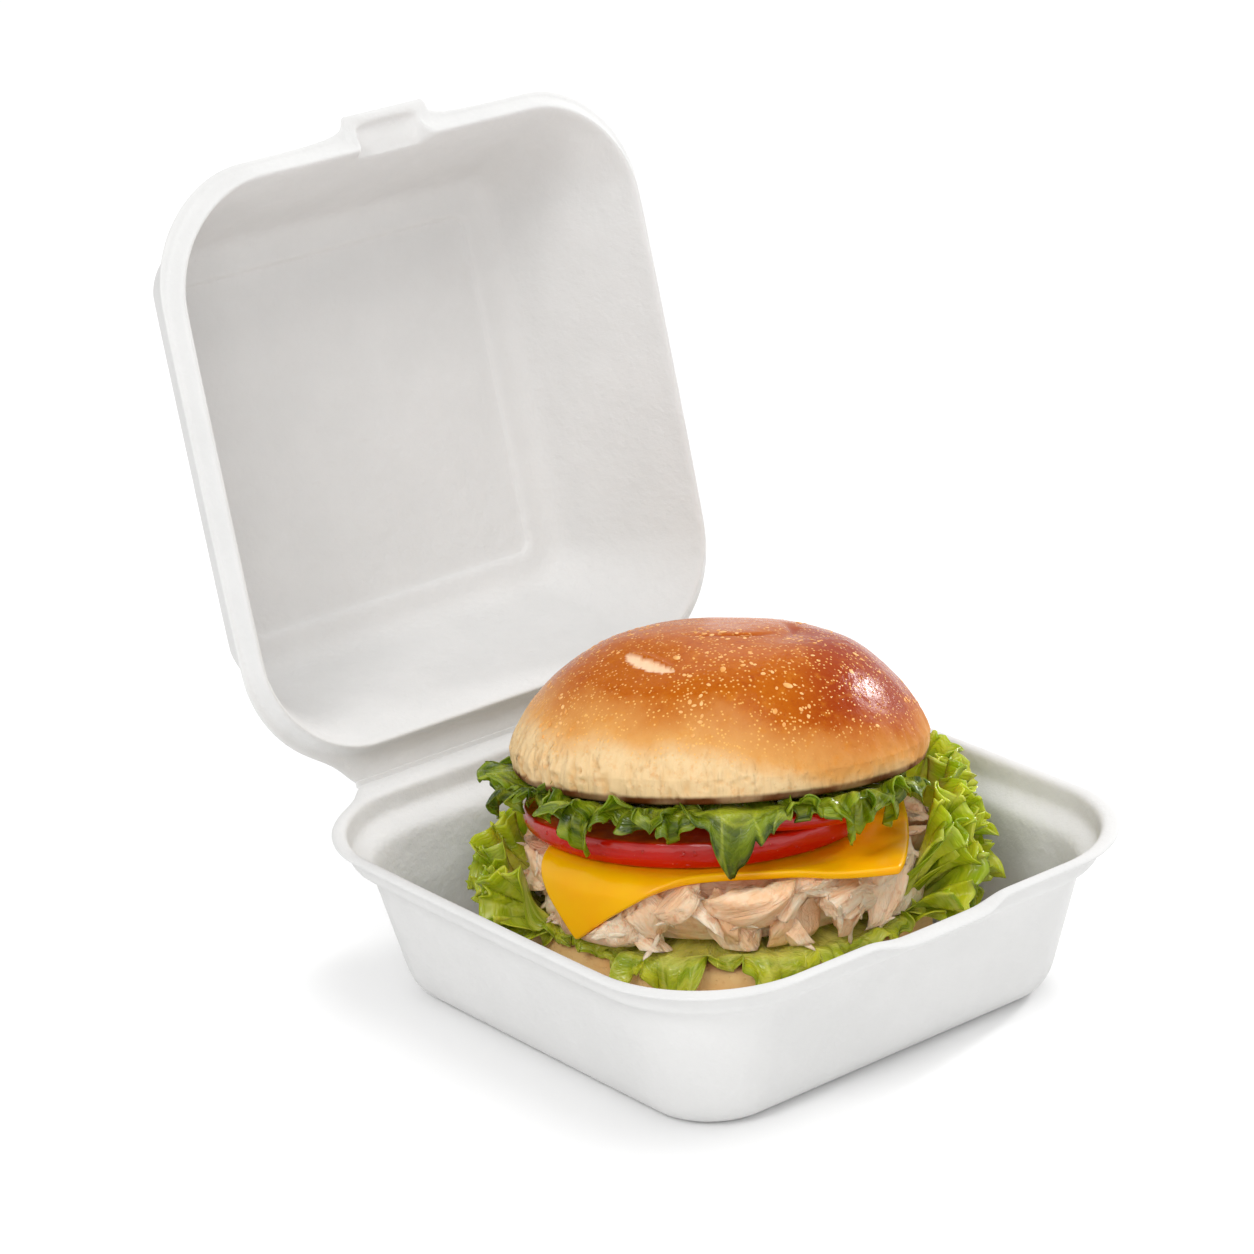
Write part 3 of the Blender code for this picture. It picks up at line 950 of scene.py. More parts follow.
@dataclass(frozen=True)
class ChickenFinish:
    """Cooked chicken: pale flesh with pink streaks and browned patches, and painted shade in the grooves
    between its fibres.
    """

    pale: tuple = (1.00, 0.82, 0.62)
    flesh: tuple = (1.00, 0.59, 0.33)
    # Browned patches, and painted shade in the grooves between fibres
    brown_and_shade: tuple = (0.70, 0.29, 0.09)

    def material(self, name: str) -> bpy.types.Material:
        """The material, which reads the attributes fibre, a place along the flake, and tint.

        Args:
            name: the material's name.

        Returns:
            The material.
        """
        g = Graph(name, self.flesh)
        fibre = g.attribute("fibre", vector=True)
        streak = g.noise(1.0, 4.0, 0.60, source=g.stretched(fibre, (90.0, 620.0, 620.0)), warp=0.5)
        patch = g.noise(190.0, 3.0, 0.6)
        tint = g.sum("ADD", g.attribute("tint"), g.between(patch, 0.3, 0.7, -0.35, 0.35))
        colour = g.mix(tint, self.flesh, self.pale)
        colour = g.mix(g.between(streak, 0.50, 0.70, 0.0, 0.65), colour, self.flesh)
        # Dark brown where the streaks lie low, in the grooves: painted shade
        colour = g.mix(g.between(streak, 0.28, 0.42, 0.45, 0.0), colour, self.brown_and_shade)
        # Scattered browned patches
        colour = g.mix(g.between(g.noise(330.0, 2.0, 0.5), 0.60, 0.74, 0.0, 0.5), colour, self.brown_and_shade)
        grain = g.relief(streak, 0.00110)
        grain = g.relief(g.noise(900.0, 3.0, 0.6), 0.00010, grain)
        return g.finish(
            colour,
            g.between(patch, 0.3, 0.7, 0.34, 0.52),
            grain,
            Specular_IOR_Level=0.45,
            Subsurface_Weight=0.25,
            Subsurface_Scale=0.003,
            Subsurface_Radius=(1.0, 0.45, 0.30),
        )


@dataclass(frozen=True)
class CheeseFinish:
    """Melted sliced cheese: smooth, waxy and softly lit from inside."""

    light: tuple = (1.00, 0.500, 0.001)
    deep: tuple = (1.00, 0.420, 0.001)

    def material(self, name: str) -> bpy.types.Material:
        """The material, a little deeper in soft patches.

        Args:
            name: the material's name.

        Returns:
            The material.
        """
        g = Graph(name, self.light)
        patch = g.noise(60.0, 3.0, 0.5)
        colour = g.mix(g.between(patch, 0.35, 0.75), self.light, self.deep)
        soft = g.relief(g.noise(120.0, 2.0, 0.4), 0.00035)
        soft = g.relief(g.noise(1300.0, 2.0, 0.5), 0.000012, soft)
        return g.finish(
            colour,
            g.between(patch, 0.3, 0.7, 0.16, 0.26),
            soft,
            Specular_IOR_Level=0.26,
            Subsurface_Weight=0.30,
            Subsurface_Scale=0.003,
            Subsurface_Radius=(1.0, 0.6, 0.02),
        )


@dataclass(frozen=True)
class TomatoFinish:
    """A wet tomato slice: glossy red skin round orange-red flesh."""

    skin: tuple = (0.56, 0.007, 0.001)
    flesh: tuple = (0.86, 0.110, 0.010)
    core: tuple = (0.66, 0.050, 0.012)
    # Pale colour of painted glints
    painted_glint: tuple = (0.90, 0.45, 0.25)

    def material(self, name: str) -> bpy.types.Material:
        """The material, which reads the attribute skin.

        Args:
            name: the material's name.

        Returns:
            The material.
        """
        g = Graph(name, self.skin)
        patch = g.noise(140.0, 3.0, 0.6)
        cut = g.mix(g.between(patch, 0.3, 0.7), self.flesh, self.core)
        colour = g.mix(g.attribute("skin"), cut, self.skin)
        # Pale dots all over the slice: painted glints
        glint_cells = g.cells(420.0)
        colour = g.mix(g.between(glint_cells, 0.0, 0.09, 0.5, 0.0), colour, self.painted_glint)
        wet = g.relief(g.noise(260.0, 3.0, 0.5), 0.00018)
        return g.finish(
            colour,
            g.between(patch, 0.3, 0.7, 0.07, 0.20),
            wet,
            Specular_IOR_Level=0.60,
            Subsurface_Weight=0.15,
            Subsurface_Scale=0.003,
            Subsurface_Radius=(1.0, 0.2, 0.05),
        )


# Pulp box


@dataclass(frozen=True)
class Ring:
    """One ring of a pulp shell: half its width, corner radius and height.

    A lid's ring may have a place in the latch tab's window: metres beyond the rim's edge, and height.
    A tray's ring may lie further back than it lies forward, to let the lid's tongue swing in.
    """

    half: float
    radius: float
    z: float
    window: tuple = None
    back: float = 0.0

    def towards(self, other: "Ring", share: float) -> "Ring":
        """The ring at that share of the way to another.

        Args:
            other: the ring that share 1 gives.
            share: from 0 to 1.

        Returns:
            The new ring.
        """
        a = np.array([self.half, self.radius, self.z, self.back])
        b = np.array([other.half, other.radius, other.z, other.back])
        half, radius, z, back = a + (b - a) * share
        window = None
        if self.window and other.window:
            window = tuple(p + (q - p) * share for p, q in zip(self.window, other.window))
        return Ring(half, radius, z, window, back)


def supported(rings: tuple, longest: float = 0.006, support: float = 0.0022) -> list:
    """The rings with two more in each long step, so that rounding keeps the wall straight.

    Args:
        rings: the rings in order.
        longest: a step that needs no more rings, in metres.
        support: how far the new rings lie from the step's ends.

    Returns:
        A (ring, whether it was added) for each ring.
    """
    out = []
    for ring, after in zip(rings, rings[1:]):
        length = math.hypot(after.half - ring.half, after.z - ring.z)
        out.append((ring, False))
        if length > longest:
            out.append((ring.towards(after, support / length), True))
            out.append((ring.towards(after, 1.0 - support / length), True))
    out.append((rings[-1], False))
    return out


@dataclass
class PulpShell:
    """What the tray and the lid share: rounded rings, lofted, thickened and rounded."""

    arc_stops: tuple = (0, 4, 9, 14, 20, 29, 39, 50, 60, 70, 80, 90)

    def loop(self, half_x: float, half_y: float, radius: float, front: tuple, back: tuple) -> np.ndarray:
        """Points counter-clockwise round a rounded rectangle, from the middle of its +X side.

        Args:
            half_x: half the width along X.
            half_y: half the width along Y.
            radius: of the corners.
            front: places of more points on the -Y side, on both sides of its middle.
            back: the same for the +Y side.

        Returns:
            An array of x, y points.
        """
        arc = np.radians(90.0 - np.array(self.arc_stops[::-1], float))
        middle = np.array([half_x - radius, half_y - radius])
        quarter = middle + radius * np.stack([np.cos(arc), np.sin(arc)], -1)
        far = [(x, half_y) for x in (*back[::-1], *(-x for x in back))]
        near = [(x, -half_y) for x in (*(-x for x in front[::-1]), *front)]
        parts = [quarter, far, quarter[::-1] * (-1, 1), -quarter, near, quarter[::-1] * (1, -1)]
        return np.concatenate([np.asarray(part, float).reshape(-1, 2) for part in parts])

    def neck(self, x: np.ndarray) -> np.ndarray:
        """1 along the crease, 0 away from it, and a hollow fillet between."""
        t = np.clip((np.abs(x) - NECK_HALF) / (NECK_FOOT - NECK_HALF), 0.0, 1.0)
        return (1.0 - t) ** 2.2

    def loft(self, name: str, loops: list) -> bpy.types.Mesh:
        """A mesh between one loop and the next, closed by a face in the last loop.

        Args:
            name: the mesh's name.
            loops: arrays of x, y, z points, one for each ring.

        Returns:
            The mesh.
        """
        mesh = grid_mesh(name, np.array(loops), closed=True)
        bm = bmesh.new()
        bm.from_mesh(mesh)
        bm.verts.ensure_lookup_table()
        count = len(loops[0])
        cap = bm.faces.new(bm.verts[len(bm.verts) - count :])
        bmesh.ops.inset_region(bm, faces=[cap], thickness=0.004)
        bm.to_mesh(mesh)
        bm.free()
        return mesh


@dataclass
class Tray(PulpShell):
    """The tray with its lip, inner step and the latch notch in its front lip."""

    half: float = 0.0760
    deeper: float = 0.0006
    edge: float = 0.0009
    notch_stops: tuple = (0.0070, 0.0120, 0.0160, 0.0200, 0.0240)
    notch_drop: float = 0.0015
    notch_push: float = 0.0020

    def rings(self) -> tuple:
        """Rings of the inner face, from the lip's edge in and down to the floor.

        Returns:
            The rings.
        """
        lip = TRAY_HEIGHT
        floor = PULP
        half = self.half
        return (
            Ring(half, 0.0329, lip - 0.0006),
            Ring(half - self.edge, 0.0321, lip),
            Ring(half - 0.0036, 0.0315, lip, back=0.0013),
            Ring(half - 0.0047, 0.0305, lip - 0.0062, back=0.0013),
            Ring(half - 0.0090, 0.0240, lip - 0.0077, back=0.0008),
            Ring(half - 0.0102, 0.0230, lip - 0.0095, back=0.0006),
            Ring(half - 0.0160, 0.0195, floor + 0.0060),
            Ring(half - 0.0180, 0.0165, floor + 0.0020),
            Ring(half - 0.0212, 0.0145, floor),
        )

    def loops(self) -> list:
        """The rings as points, with the neck at the crease and the notch in front.

        Returns:
            An array of x, y, z points for each ring.
        """
        loops = []
        outer = -1
        for ring, added in supported(self.rings()):
            outer += 0 if added else 1
            half_y = ring.half + self.deeper
            flat = self.loop(ring.half, half_y, ring.radius, self.notch_stops, ())
            x = flat[:, 0].copy()
            y = flat[:, 1].copy()
            z = np.full(len(x), ring.z)
            y += np.where(y > 0, ring.back, 0.0)
            if outer < 2:
                crease = CREASE_Y - HALF_GAP - self.edge * outer
                weight = np.where(y > 0, self.neck(x), 0.0)
                y += (crease - y) * weight
                z += (TRAY_HEIGHT - z) * weight
            if outer < 3:
                inside = 1.0 - smooth_step(np.abs(x), self.notch_stops[1], self.notch_stops[3])
                weight = np.where(y < -ring.half, inside, 0.0)
                z -= self.notch_drop * weight
                y -= self.notch_push * (1.0 - outer / 2) * weight
            loops.append(np.stack([x, y, z], -1))
        return loops

    def build(self, pulp: bpy.types.Material) -> list:
        """The tray's shell in place of the plain solid.

        Args:
            pulp: its finish.

        Returns:
            The finished piece, in a list.
        """
        obj = new_object("tray_shell", self.loft("tray_shell", self.loops()), pulp)
        thicken(obj, PULP, -1.0, smooth=2)
        settle(obj)
        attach(obj, "tray")
        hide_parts("tray")
        return [obj]


@dataclass
class Lid(PulpShell):
    """The lid with its rim, tongue, sunk ceiling panel and latch tab, modelled flat and turned open."""

    half: float = 0.0737
    deeper: float = 0.0007
    depth: float = 0.0380
    strip: float = 0.0056
    edge: float = 0.0009
    tab_stops: tuple = (0.0084, 0.0094, 0.0102, 0.0112, 0.0123, 0.0131, 0.0136)

    def rings(self) -> tuple:
        """Rings of the inner face, from the rim's edge over the tongue and down to the sunk panel.

        Returns:
            The rings.
        """
        top = -self.depth
        half = self.half
        return (
            Ring(half, 0.0304, -0.0006, (0.0049, -0.0006)),
            Ring(half - self.edge, 0.0296, 0.0, (0.0040, 0.0)),
            Ring(half - 0.0016, 0.0310, 0.0, (0.0022, 0.0)),
            Ring(half - 0.0026, 0.0305, 0.0029, (0.0014, -0.0016)),
            Ring(half - 0.0037, 0.0290, 0.0040, (-0.0010, -0.0019)),
            Ring(half - 0.0048, 0.0275, 0.0031, (-0.0038, -0.0019)),
            Ring(half - 0.0058, 0.0260, 0.0002, (-0.0062, -0.0023)),
            Ring(half - 0.0188, 0.0120, top + 0.0060),
            Ring(half - 0.0207, 0.0105, top + 0.0020),
            Ring(half - 0.0242, 0.0075, top),
            Ring(half - 0.0287, 0.0045, top),
            Ring(half - 0.0299, 0.0035, top - 0.0015),
        )

    def tab_weight(self, x: np.ndarray, index: int) -> np.ndarray:
        """How far a ring's points are drawn into the tab, whose edge the two outer rings make.

        Args:
            x: the points' distances from the lid's middle.
            index: the ring's, 0 for the outermost.

        Returns:
            A weight from 0 to 1 for each point.
        """
        if index < 2:
            inside = 1.0 - 0.3 * smooth_step(x, self.tab_stops[4], self.tab_stops[5])
            return np.where(x < self.tab_stops[6] - 1e-6, inside, 0.0)
        return 1.0 - smooth_step(x, self.tab_stops[0], self.tab_stops[3])

    def loops(self) -> list:
        """The rings as points, with the tab in front and the neck at the crease.

        Returns:
            An array of x, y, z points for each ring.
        """
        rim = self.half + self.deeper
        middle = self.strip + rim
        loops = []
        outer = -1
        for ring, added in supported(self.rings()):
            outer += 0 if added else 1
            flat = self.loop(ring.half, ring.half + self.deeper, ring.radius, (), self.tab_stops)
            x = flat[:, 0].copy()
            y = flat[:, 1].copy()
            z = np.full(len(x), ring.z)
            if ring.window:
                weight = np.where(y > ring.half, self.tab_weight(np.abs(x), outer), 0.0)
                y += (rim + ring.window[0] - y) * weight
                z += (ring.window[1] - z) * weight
            y += middle
            if outer < 2:
                weight = np.where(y < middle, self.neck(x), 0.0)
                y += (HALF_GAP + self.edge * outer - y) * weight
                z -= z * weight
            loops.append(np.stack([x, y, z], -1))
        return loops

    def build(self, pulp: bpy.types.Material) -> list:
        """The lid's shell in place of the plain solid.

        Args:
            pulp: its finish.

        Returns:
            The finished piece, in a list.
        """
        obj = new_object("lid_shell", self.loft("lid_shell", self.loops()), pulp)
        crease = Matrix.Translation((0.0, CREASE_Y, TRAY_HEIGHT))
        obj.matrix_world = crease @ Matrix.Rotation(LID_OPEN, 4, "X")
        thicken(obj, PULP, -1.0, smooth=2)
        settle(obj)
        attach(obj, "lid")
        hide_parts("lid")
        return [obj]


@dataclass
class HingeWeb:
    """The thin web of pulp along the crease, bent to the lid's open angle."""

    half: float = 0.0485
    reach: float = 0.0016
    thick: float = 0.0006
    columns: int = 40
    rows: int = 13

    def build(self, pulp: bpy.types.Material) -> list:
        """A strip from the tray's edge to the lid's, bent with both.

        Args:
            pulp: its finish.

        Returns:
            The finished piece, in a list.
        """
        across = np.linspace(-1.0, 1.0, self.rows)
        along = np.linspace(-self.half, self.half, self.columns)
        y = CREASE_Y + np.where(across < 0, across, across * math.cos(LID_OPEN)) * self.reach
        rise = np.where(across < 0, 0.0, across * math.sin(LID_OPEN)) * self.reach
        z = TRAY_HEIGHT - self.thick / 2 + rise
        points = np.zeros((len(across), len(along), 3))
        points[..., 0] = along[None, :]
        points[..., 1] = y[:, None]
        points[..., 2] = z[:, None]
        obj = new_object("hinge_web", grid_mesh("hinge_web", points), pulp)
        thicken(obj, self.thick, 0.0, smooth=1)
        settle(obj)
        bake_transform(obj)
        return [obj]


# Burger


def put_in_tray(obj: bpy.types.Object, slot: str, *nodes: str) -> bpy.types.Object:
    """Moves a piece modelled in the burger frame into the tray, where it stands for those nodes.

    Args:
        obj: the piece.
        slot: the record's material slot; not used.
        *nodes: the plain solids it replaces.

    Returns:
        The piece, finished.
    """
    obj.matrix_world = BURGER_MATRIX @ obj.matrix_world
    settle(obj)
    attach(obj, "tray")
    if nodes:
        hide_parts(*nodes)
    return obj


@dataclass
class TopBun:
    """The domed top bun, with its torn gash, crease, dents and wrinkled pale foot."""

    radius: float = 0.0501
    height: float = 0.0331
    edge: float = 0.0060
    lean: float = math.radians(11.0)
    columns: int = 360
    dome_rows: int = 92
    under_rows: int = 24

    def dome(self, radius: np.ndarray) -> np.ndarray:
        """Height of the crust over the cut face at a distance from the axis."""
        share = np.clip(radius / self.radius, 0.0, 1.0)
        return self.edge + (self.height - self.edge) * (1.0 - share**3.03) ** 0.81

    def profile(self) -> np.ndarray:
        """The section from the top round the foot to the middle of the cut face.

        Returns:
            The (radius, height) points.
        """
        turn = np.linspace(0.0, math.pi / 2, self.dome_rows)
        radius = self.radius * np.sin(turn)
        over = np.stack([radius, self.dome(radius)], -1)[1:]
        r = self.radius
        foot = [(r, self.edge), (r - 0.0003, 0.003), (r - 0.0009, 0.0007), (r - 0.0020, 0.0)]
        foot = smooth_profile(foot, 9)
        inward = np.linspace(r - 0.0030, 0.0006, self.under_rows)
        under = np.stack([inward, np.zeros(self.under_rows)], -1)
        return np.concatenate([over, foot[1:], under])

    def gash(self, share: np.ndarray, azimuth: np.ndarray, around: np.ndarray) -> tuple:
        """The torn gash at the upper left.

        Args:
            share: each point's distance from the axis against the bun's radius.
            azimuth: its direction in degrees.
            around: its place on a ring, for noise.

        Returns:
            How torn each point is, and how far it is on the raised lip beside the tear.
        """
        along = turn_from(azimuth, -129.0)
        line = 0.577 + 0.0021 * along + 0.006 * noise_at(around, 4.0, 3.0)
        half = np.clip(1.0 - (along / 17.5) ** 2, 0.0, 1.0) ** 0.6
        half = half * (0.031 + 0.006 * noise_at(around, 9.0, 5.0))
        off = (share - line) / np.maximum(half, 1e-4)
        torn = np.where(half > 0.004, 1.0 - smooth_step(np.abs(off), 0.72, 1.05), 0.0)
        return torn, np.where(half > 0.004, bump_at(off, -1.4, 0.5), 0.0)

    def fold(self, share: np.ndarray, azimuth: np.ndarray) -> np.ndarray:
        """The crease over the top and the short one at its right end.

        Args:
            share: each point's distance from the axis against the bun's radius.
            azimuth: its direction in degrees.

        Returns:
            How deep each point lies in them, from 0 to 1.
        """
        along = turn_from(azimuth, -78.0)
        line = bump_at(share, 0.245 + 0.00001 * along**2, 0.013)
        fold = line * np.clip(1.0 - (along / 58.0) ** 2, 0.0, 1.0)
        return fold + 0.8 * bump_at(share, 0.36, 0.03) * bump_at(turn_from(azimuth, 2.0), 0.0, 18.0)

    def dents(self, share: np.ndarray, azimuth: np.ndarray) -> np.ndarray:
        """The two shallow dents, in metres.

        Args:
            share: each point's distance from the axis against the bun's radius.
            azimuth: its direction in degrees.

        Returns:
            How deep each point lies in them.
        """
        right = 0.0011 * bump_at(share, 0.36, 0.13) * bump_at(turn_from(azimuth, -30.0), 0.0, 40.0)
        left = 0.0006 * bump_at(share, 0.60, 0.16) * bump_at(turn_from(azimuth, -133.0), 0.0, 26.0)
        return right + left

    def crust_mesh(self) -> bpy.types.Mesh:
        """The bun's surface with its relief, and what the crust's material reads.

        Returns:
            The mesh, open at the top and in the middle of the cut face.
        """
        points = turned_grid(self.profile(), self.columns)
        radius = np.hypot(points[..., 0], points[..., 1])
        azimuth = np.degrees(np.arctan2(points[..., 1], points[..., 0]))
        share = radius / self.radius
        rise = points[..., 2] / self.height
        outside = np.arange(len(points)) < len(points) - self.under_rows
        outside = np.where(outside, 1.0, 0.0)[:, None] * np.ones_like(share)
        way = points.copy()
        way[..., 2] = np.maximum(points[..., 2] - 0.010, 0.0) * 2.6
        way /= np.linalg.norm(way, axis=-1, keepdims=True) + 1e-9

        low = noise_at(points, 32.0, 3.1)
        turn = np.radians(azimuth)
        around = np.stack([np.cos(turn) * 6.0, np.sin(turn) * 6.0, rise * 0.9], -1)
        wrinkle = noise_at(around, 2.6, 7.0) + 0.6 * noise_at(around, 6.0, 2.0)
        foot = (1.0 - smooth_step(rise, 0.20, 0.42)) * smooth_step(rise, 0.0, 0.06)
        # Pleats of the foot: pushed in, and kept so the crust's colour can paint shade in them
        pleat = 1.0 - smooth_step(np.abs(wrinkle), 0.0, 0.16)
        pleat = pleat * (0.35 + 0.65 * bump_at(turn_from(azimuth, -150.0), 0.0, 62.0))
        torn, lip = self.gash(share, azimuth, around)
        fold = self.fold(share, azimuth)

        push = 0.00030 * foot - (0.0010 * np.abs(wrinkle) + 0.0014 * pleat) * foot
        push += 0.00022 * noise_at(points, 90.0, 5.0) * smooth_step(rise, 0.1, 0.4)
        push += 0.00006 * noise_at(points, 420.0, 1.0) * outside
        push += -0.0004 * torn + 0.0006 * lip
        push += 0.00035 * noise_at(points, 700.0, 4.0) * torn
        push -= 0.0011 * fold
        push -= self.dents(share, azimuth)
        points += way * push[..., None] * outside[..., None]
        height = points[..., 2] / self.height
        points[..., 2] -= 0.0005 * height * points[..., 0] / self.radius
        points[..., 0] += 0.0013 * height**2
        points[..., 2] += 0.0010 * low * np.clip(2.0 * (height - 0.3), 0.0, 1.0)

        warmth = 0.10 + 0.9 * smooth_step(np.cos(np.radians(azimuth - 2.0)) * share, -0.15, 0.75)
        toast = np.where(outside > 0.5, 1.0 - smooth_step(rise, 0.045, 0.075), 0.85)
        toast = toast * (0.70 + 0.30 * smooth_step(noise_at(points, 120.0, 9.0), -0.4, 0.2))
        strew = smooth_step(rise, 0.30, 0.50) * smooth_step(noise_at(points, 75.0, 6.0), -0.25, 0.35)
        mesh = grid_mesh("crust", points, closed=True)
        kept = {
            "rise": rise,
            "warmth": np.clip(warmth, 0.0, 1.0),
            "gash": torn,
            "fold": np.clip(fold, 0.0, 1.0),
            "toast": toast,
            "strew": strew * (torn < 0.05) * outside,
            "pleat": pleat * foot,
        }
        for name, values in kept.items():
            set_value(mesh, name, values.reshape(-1))
        return mesh

    def build(self, crust: bpy.types.Material, blister: bpy.types.Material) -> list:
        """The bun in place of its plain solid, and the blisters on its crust.

        Args:
            crust: the bun's finish.
            blister: the blisters' finish.

        Returns:
            The finished pieces.
        """
        obj = new_object("bun_crust", capped(self.crust_mesh()), crust)
        place = Matrix.Translation((-0.0007, 0.0, BUN_BOTTOM.height))
        obj.matrix_world = place @ Matrix.Rotation(-self.lean, 4, "X")
        put_in_tray(obj, "bun_crust", "bun_top")
        small = Scatter("crust_blisters", 95000.0, 0.0004, 0.0011, 5)
        large = Scatter("crust_blisters_large", 4200.0, 0.0012, 0.0021, 9)
        small = small.over(obj, bead_mesh(0.22), blister)
        large = large.over(obj, bead_mesh(0.16), blister)
        for strewn in (small, large):
            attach(strewn, "tray")
        return [obj, small, large]


@dataclass
class Heel:
    """The bottom bun: a low drum whose cut top is toasted round its rim."""

    columns: int = 288

    def build(self, crumb: bpy.types.Material) -> list:
        """The bottom bun in place of its plain solid.

        Args:
            crumb: its finish.

        Returns:
            The finished piece, in a list.
        """
        bottom = PULP + 0.0003
        side = smooth_profile(
            [
                (0.0425, 1.0),
                (0.0466, 0.97),
                (0.0480, 0.86),
                (0.0488, 0.62),
                (0.0485, 0.38),
                (0.0470, 0.16),
                (0.0452, 0.04),
                (0.0428, 0.0),
            ],
            8,
        )
        top = np.stack([np.linspace(0.0006, 0.0420, 20), np.ones(20)], -1)
        under = np.stack([np.linspace(0.0420, 0.0006, 12), np.zeros(12)], -1)
        profile = np.concatenate([top, side, under])
        points = turned_grid(profile, self.columns)
        share = points[..., 2].copy()
        lump = noise_at(points * (1, 1, 0.012), 60.0, 4.0)
        ridge = noise_at(points * (1, 1, 0.004), 210.0, 2.0)
        radius = np.hypot(points[..., 0], points[..., 1])
        grow = 1.0 + (0.010 * lump - 0.006 * np.abs(ridge)) * smooth_step(radius, 0.035, 0.046)
        points[..., :2] *= grow[..., None]
        points[..., 2] = bottom + share * (HEEL_TOP.at(points[..., 1]) - bottom)
        rim = smooth_step(share, 0.9, 1.0) * smooth_step(radius, 0.03, 0.045)
        points[..., 2] -= 0.0004 * np.abs(lump) * rim
        mesh = grid_mesh("heel", points, closed=True)
        toast = smooth_step(share, 0.86, 0.98) * (0.5 + 0.5 * smooth_step(lump, -0.5, 0.3))
        toast = np.maximum(toast, 0.8 * (1.0 - smooth_step(share, 0.0, 0.06)))
        set_value(mesh, "toast", toast.reshape(-1))
        obj = new_object("heel_crumb", capped(mesh), crumb)
        put_in_tray(obj, "bun_side", "bun_bottom")
        return [obj]


@dataclass
class Tomatoes:
    """Two wet slices of tomato, the small one on the large one.

    A slice is (node, x and y of its middle, radius, level of its bottom, level of its top).
    """

    slices: tuple = (
        ("tomato_lower", -0.006, 0.0, 0.0424, TOMATO_BOTTOM, TOMATO_TOP),
        ("tomato_upper", 0.013, -0.013, 0.0260, UPPER_SLICE_BOTTOM, UPPER_SLICE_TOP),
    )
    columns: int = 220

    def slice_mesh(self, x: float, y: float, radius: float, bottom: Level, top: Level) -> bpy.types.Mesh:
        """One slice between two levels, its skin rounded over the edge of the cut face.

        Args:
            x: its middle, to the right.
            y: its middle, away from the viewer.
            radius: of the slice.
            bottom: the level that it lies on.
            top: the level of its cut face.

        Returns:
            The mesh, which keeps skin and strew.
        """
        rim = smooth_profile(
            [
                (radius - 0.0014, 1.0),
                (radius - 0.0005, 0.96),
                (radius - 0.0001, 0.72),
                (radius, 0.45),
                (radius - 0.0002, 0.20),
                (radius - 0.0008, 0.03),
                (radius - 0.0018, 0.0),
            ],
            5,
        )
        inner = np.stack([np.linspace(0.0006, radius - 0.002, 26), np.ones(26)], -1)
        under = np.stack([np.linspace(radius - 0.0024, 0.0006, 10), np.zeros(10)], -1)
        points = turned_grid(np.concatenate([inner, rim, under]), self.columns)
        share = points[..., 2].copy()
        azimuth = np.arctan2(points[..., 1], points[..., 0])
        away = np.hypot(points[..., 0], points[..., 1])
        uneven = 1.0 + 0.012 * np.sin(3.0 * azimuth + 40.0 * x)
        points[..., 0] = x + points[..., 0] * uneven
        points[..., 1] = y + points[..., 1] * uneven
        low = bottom.at(points[..., 1])
        high = top.at(points[..., 1])
        cut = 0.00022 * noise_at(points * (1, 1, 0), 130.0, 6.0) * smooth_step(share, 0.8, 1.0)
        points[..., 2] = low + share * (high - low) + cut - 0.00015 * smooth_step(share, 0.8, 1.0)
        mesh = grid_mesh("slice", points, closed=True)
        skin = smooth_step(away, radius - 0.0012, radius - 0.0004)
        set_value(mesh, "skin", skin.reshape(-1))
        set_value(mesh, "strew", (0.25 + 0.75 * skin).reshape(-1))
        return capped(mesh)

    def build(self, wet: bpy.types.Material) -> list:
        """Both slices in place of their plain solids.

        Args:
            wet: their finish.

        Returns:
            The slices and the drops on them.
        """
        made = []
        for name, *sizes in self.slices:
            obj = new_object(name + "_slice", self.slice_mesh(*sizes), wet)
            made.append(put_in_tray(obj, "tomato", name))
            drops = Scatter(name + "_juice", 22000.0, 0.0004, 0.0010, 11).over(obj, bead_mesh(0.45), wet)
            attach(drops, "tray")
            made.append(drops)
        return made


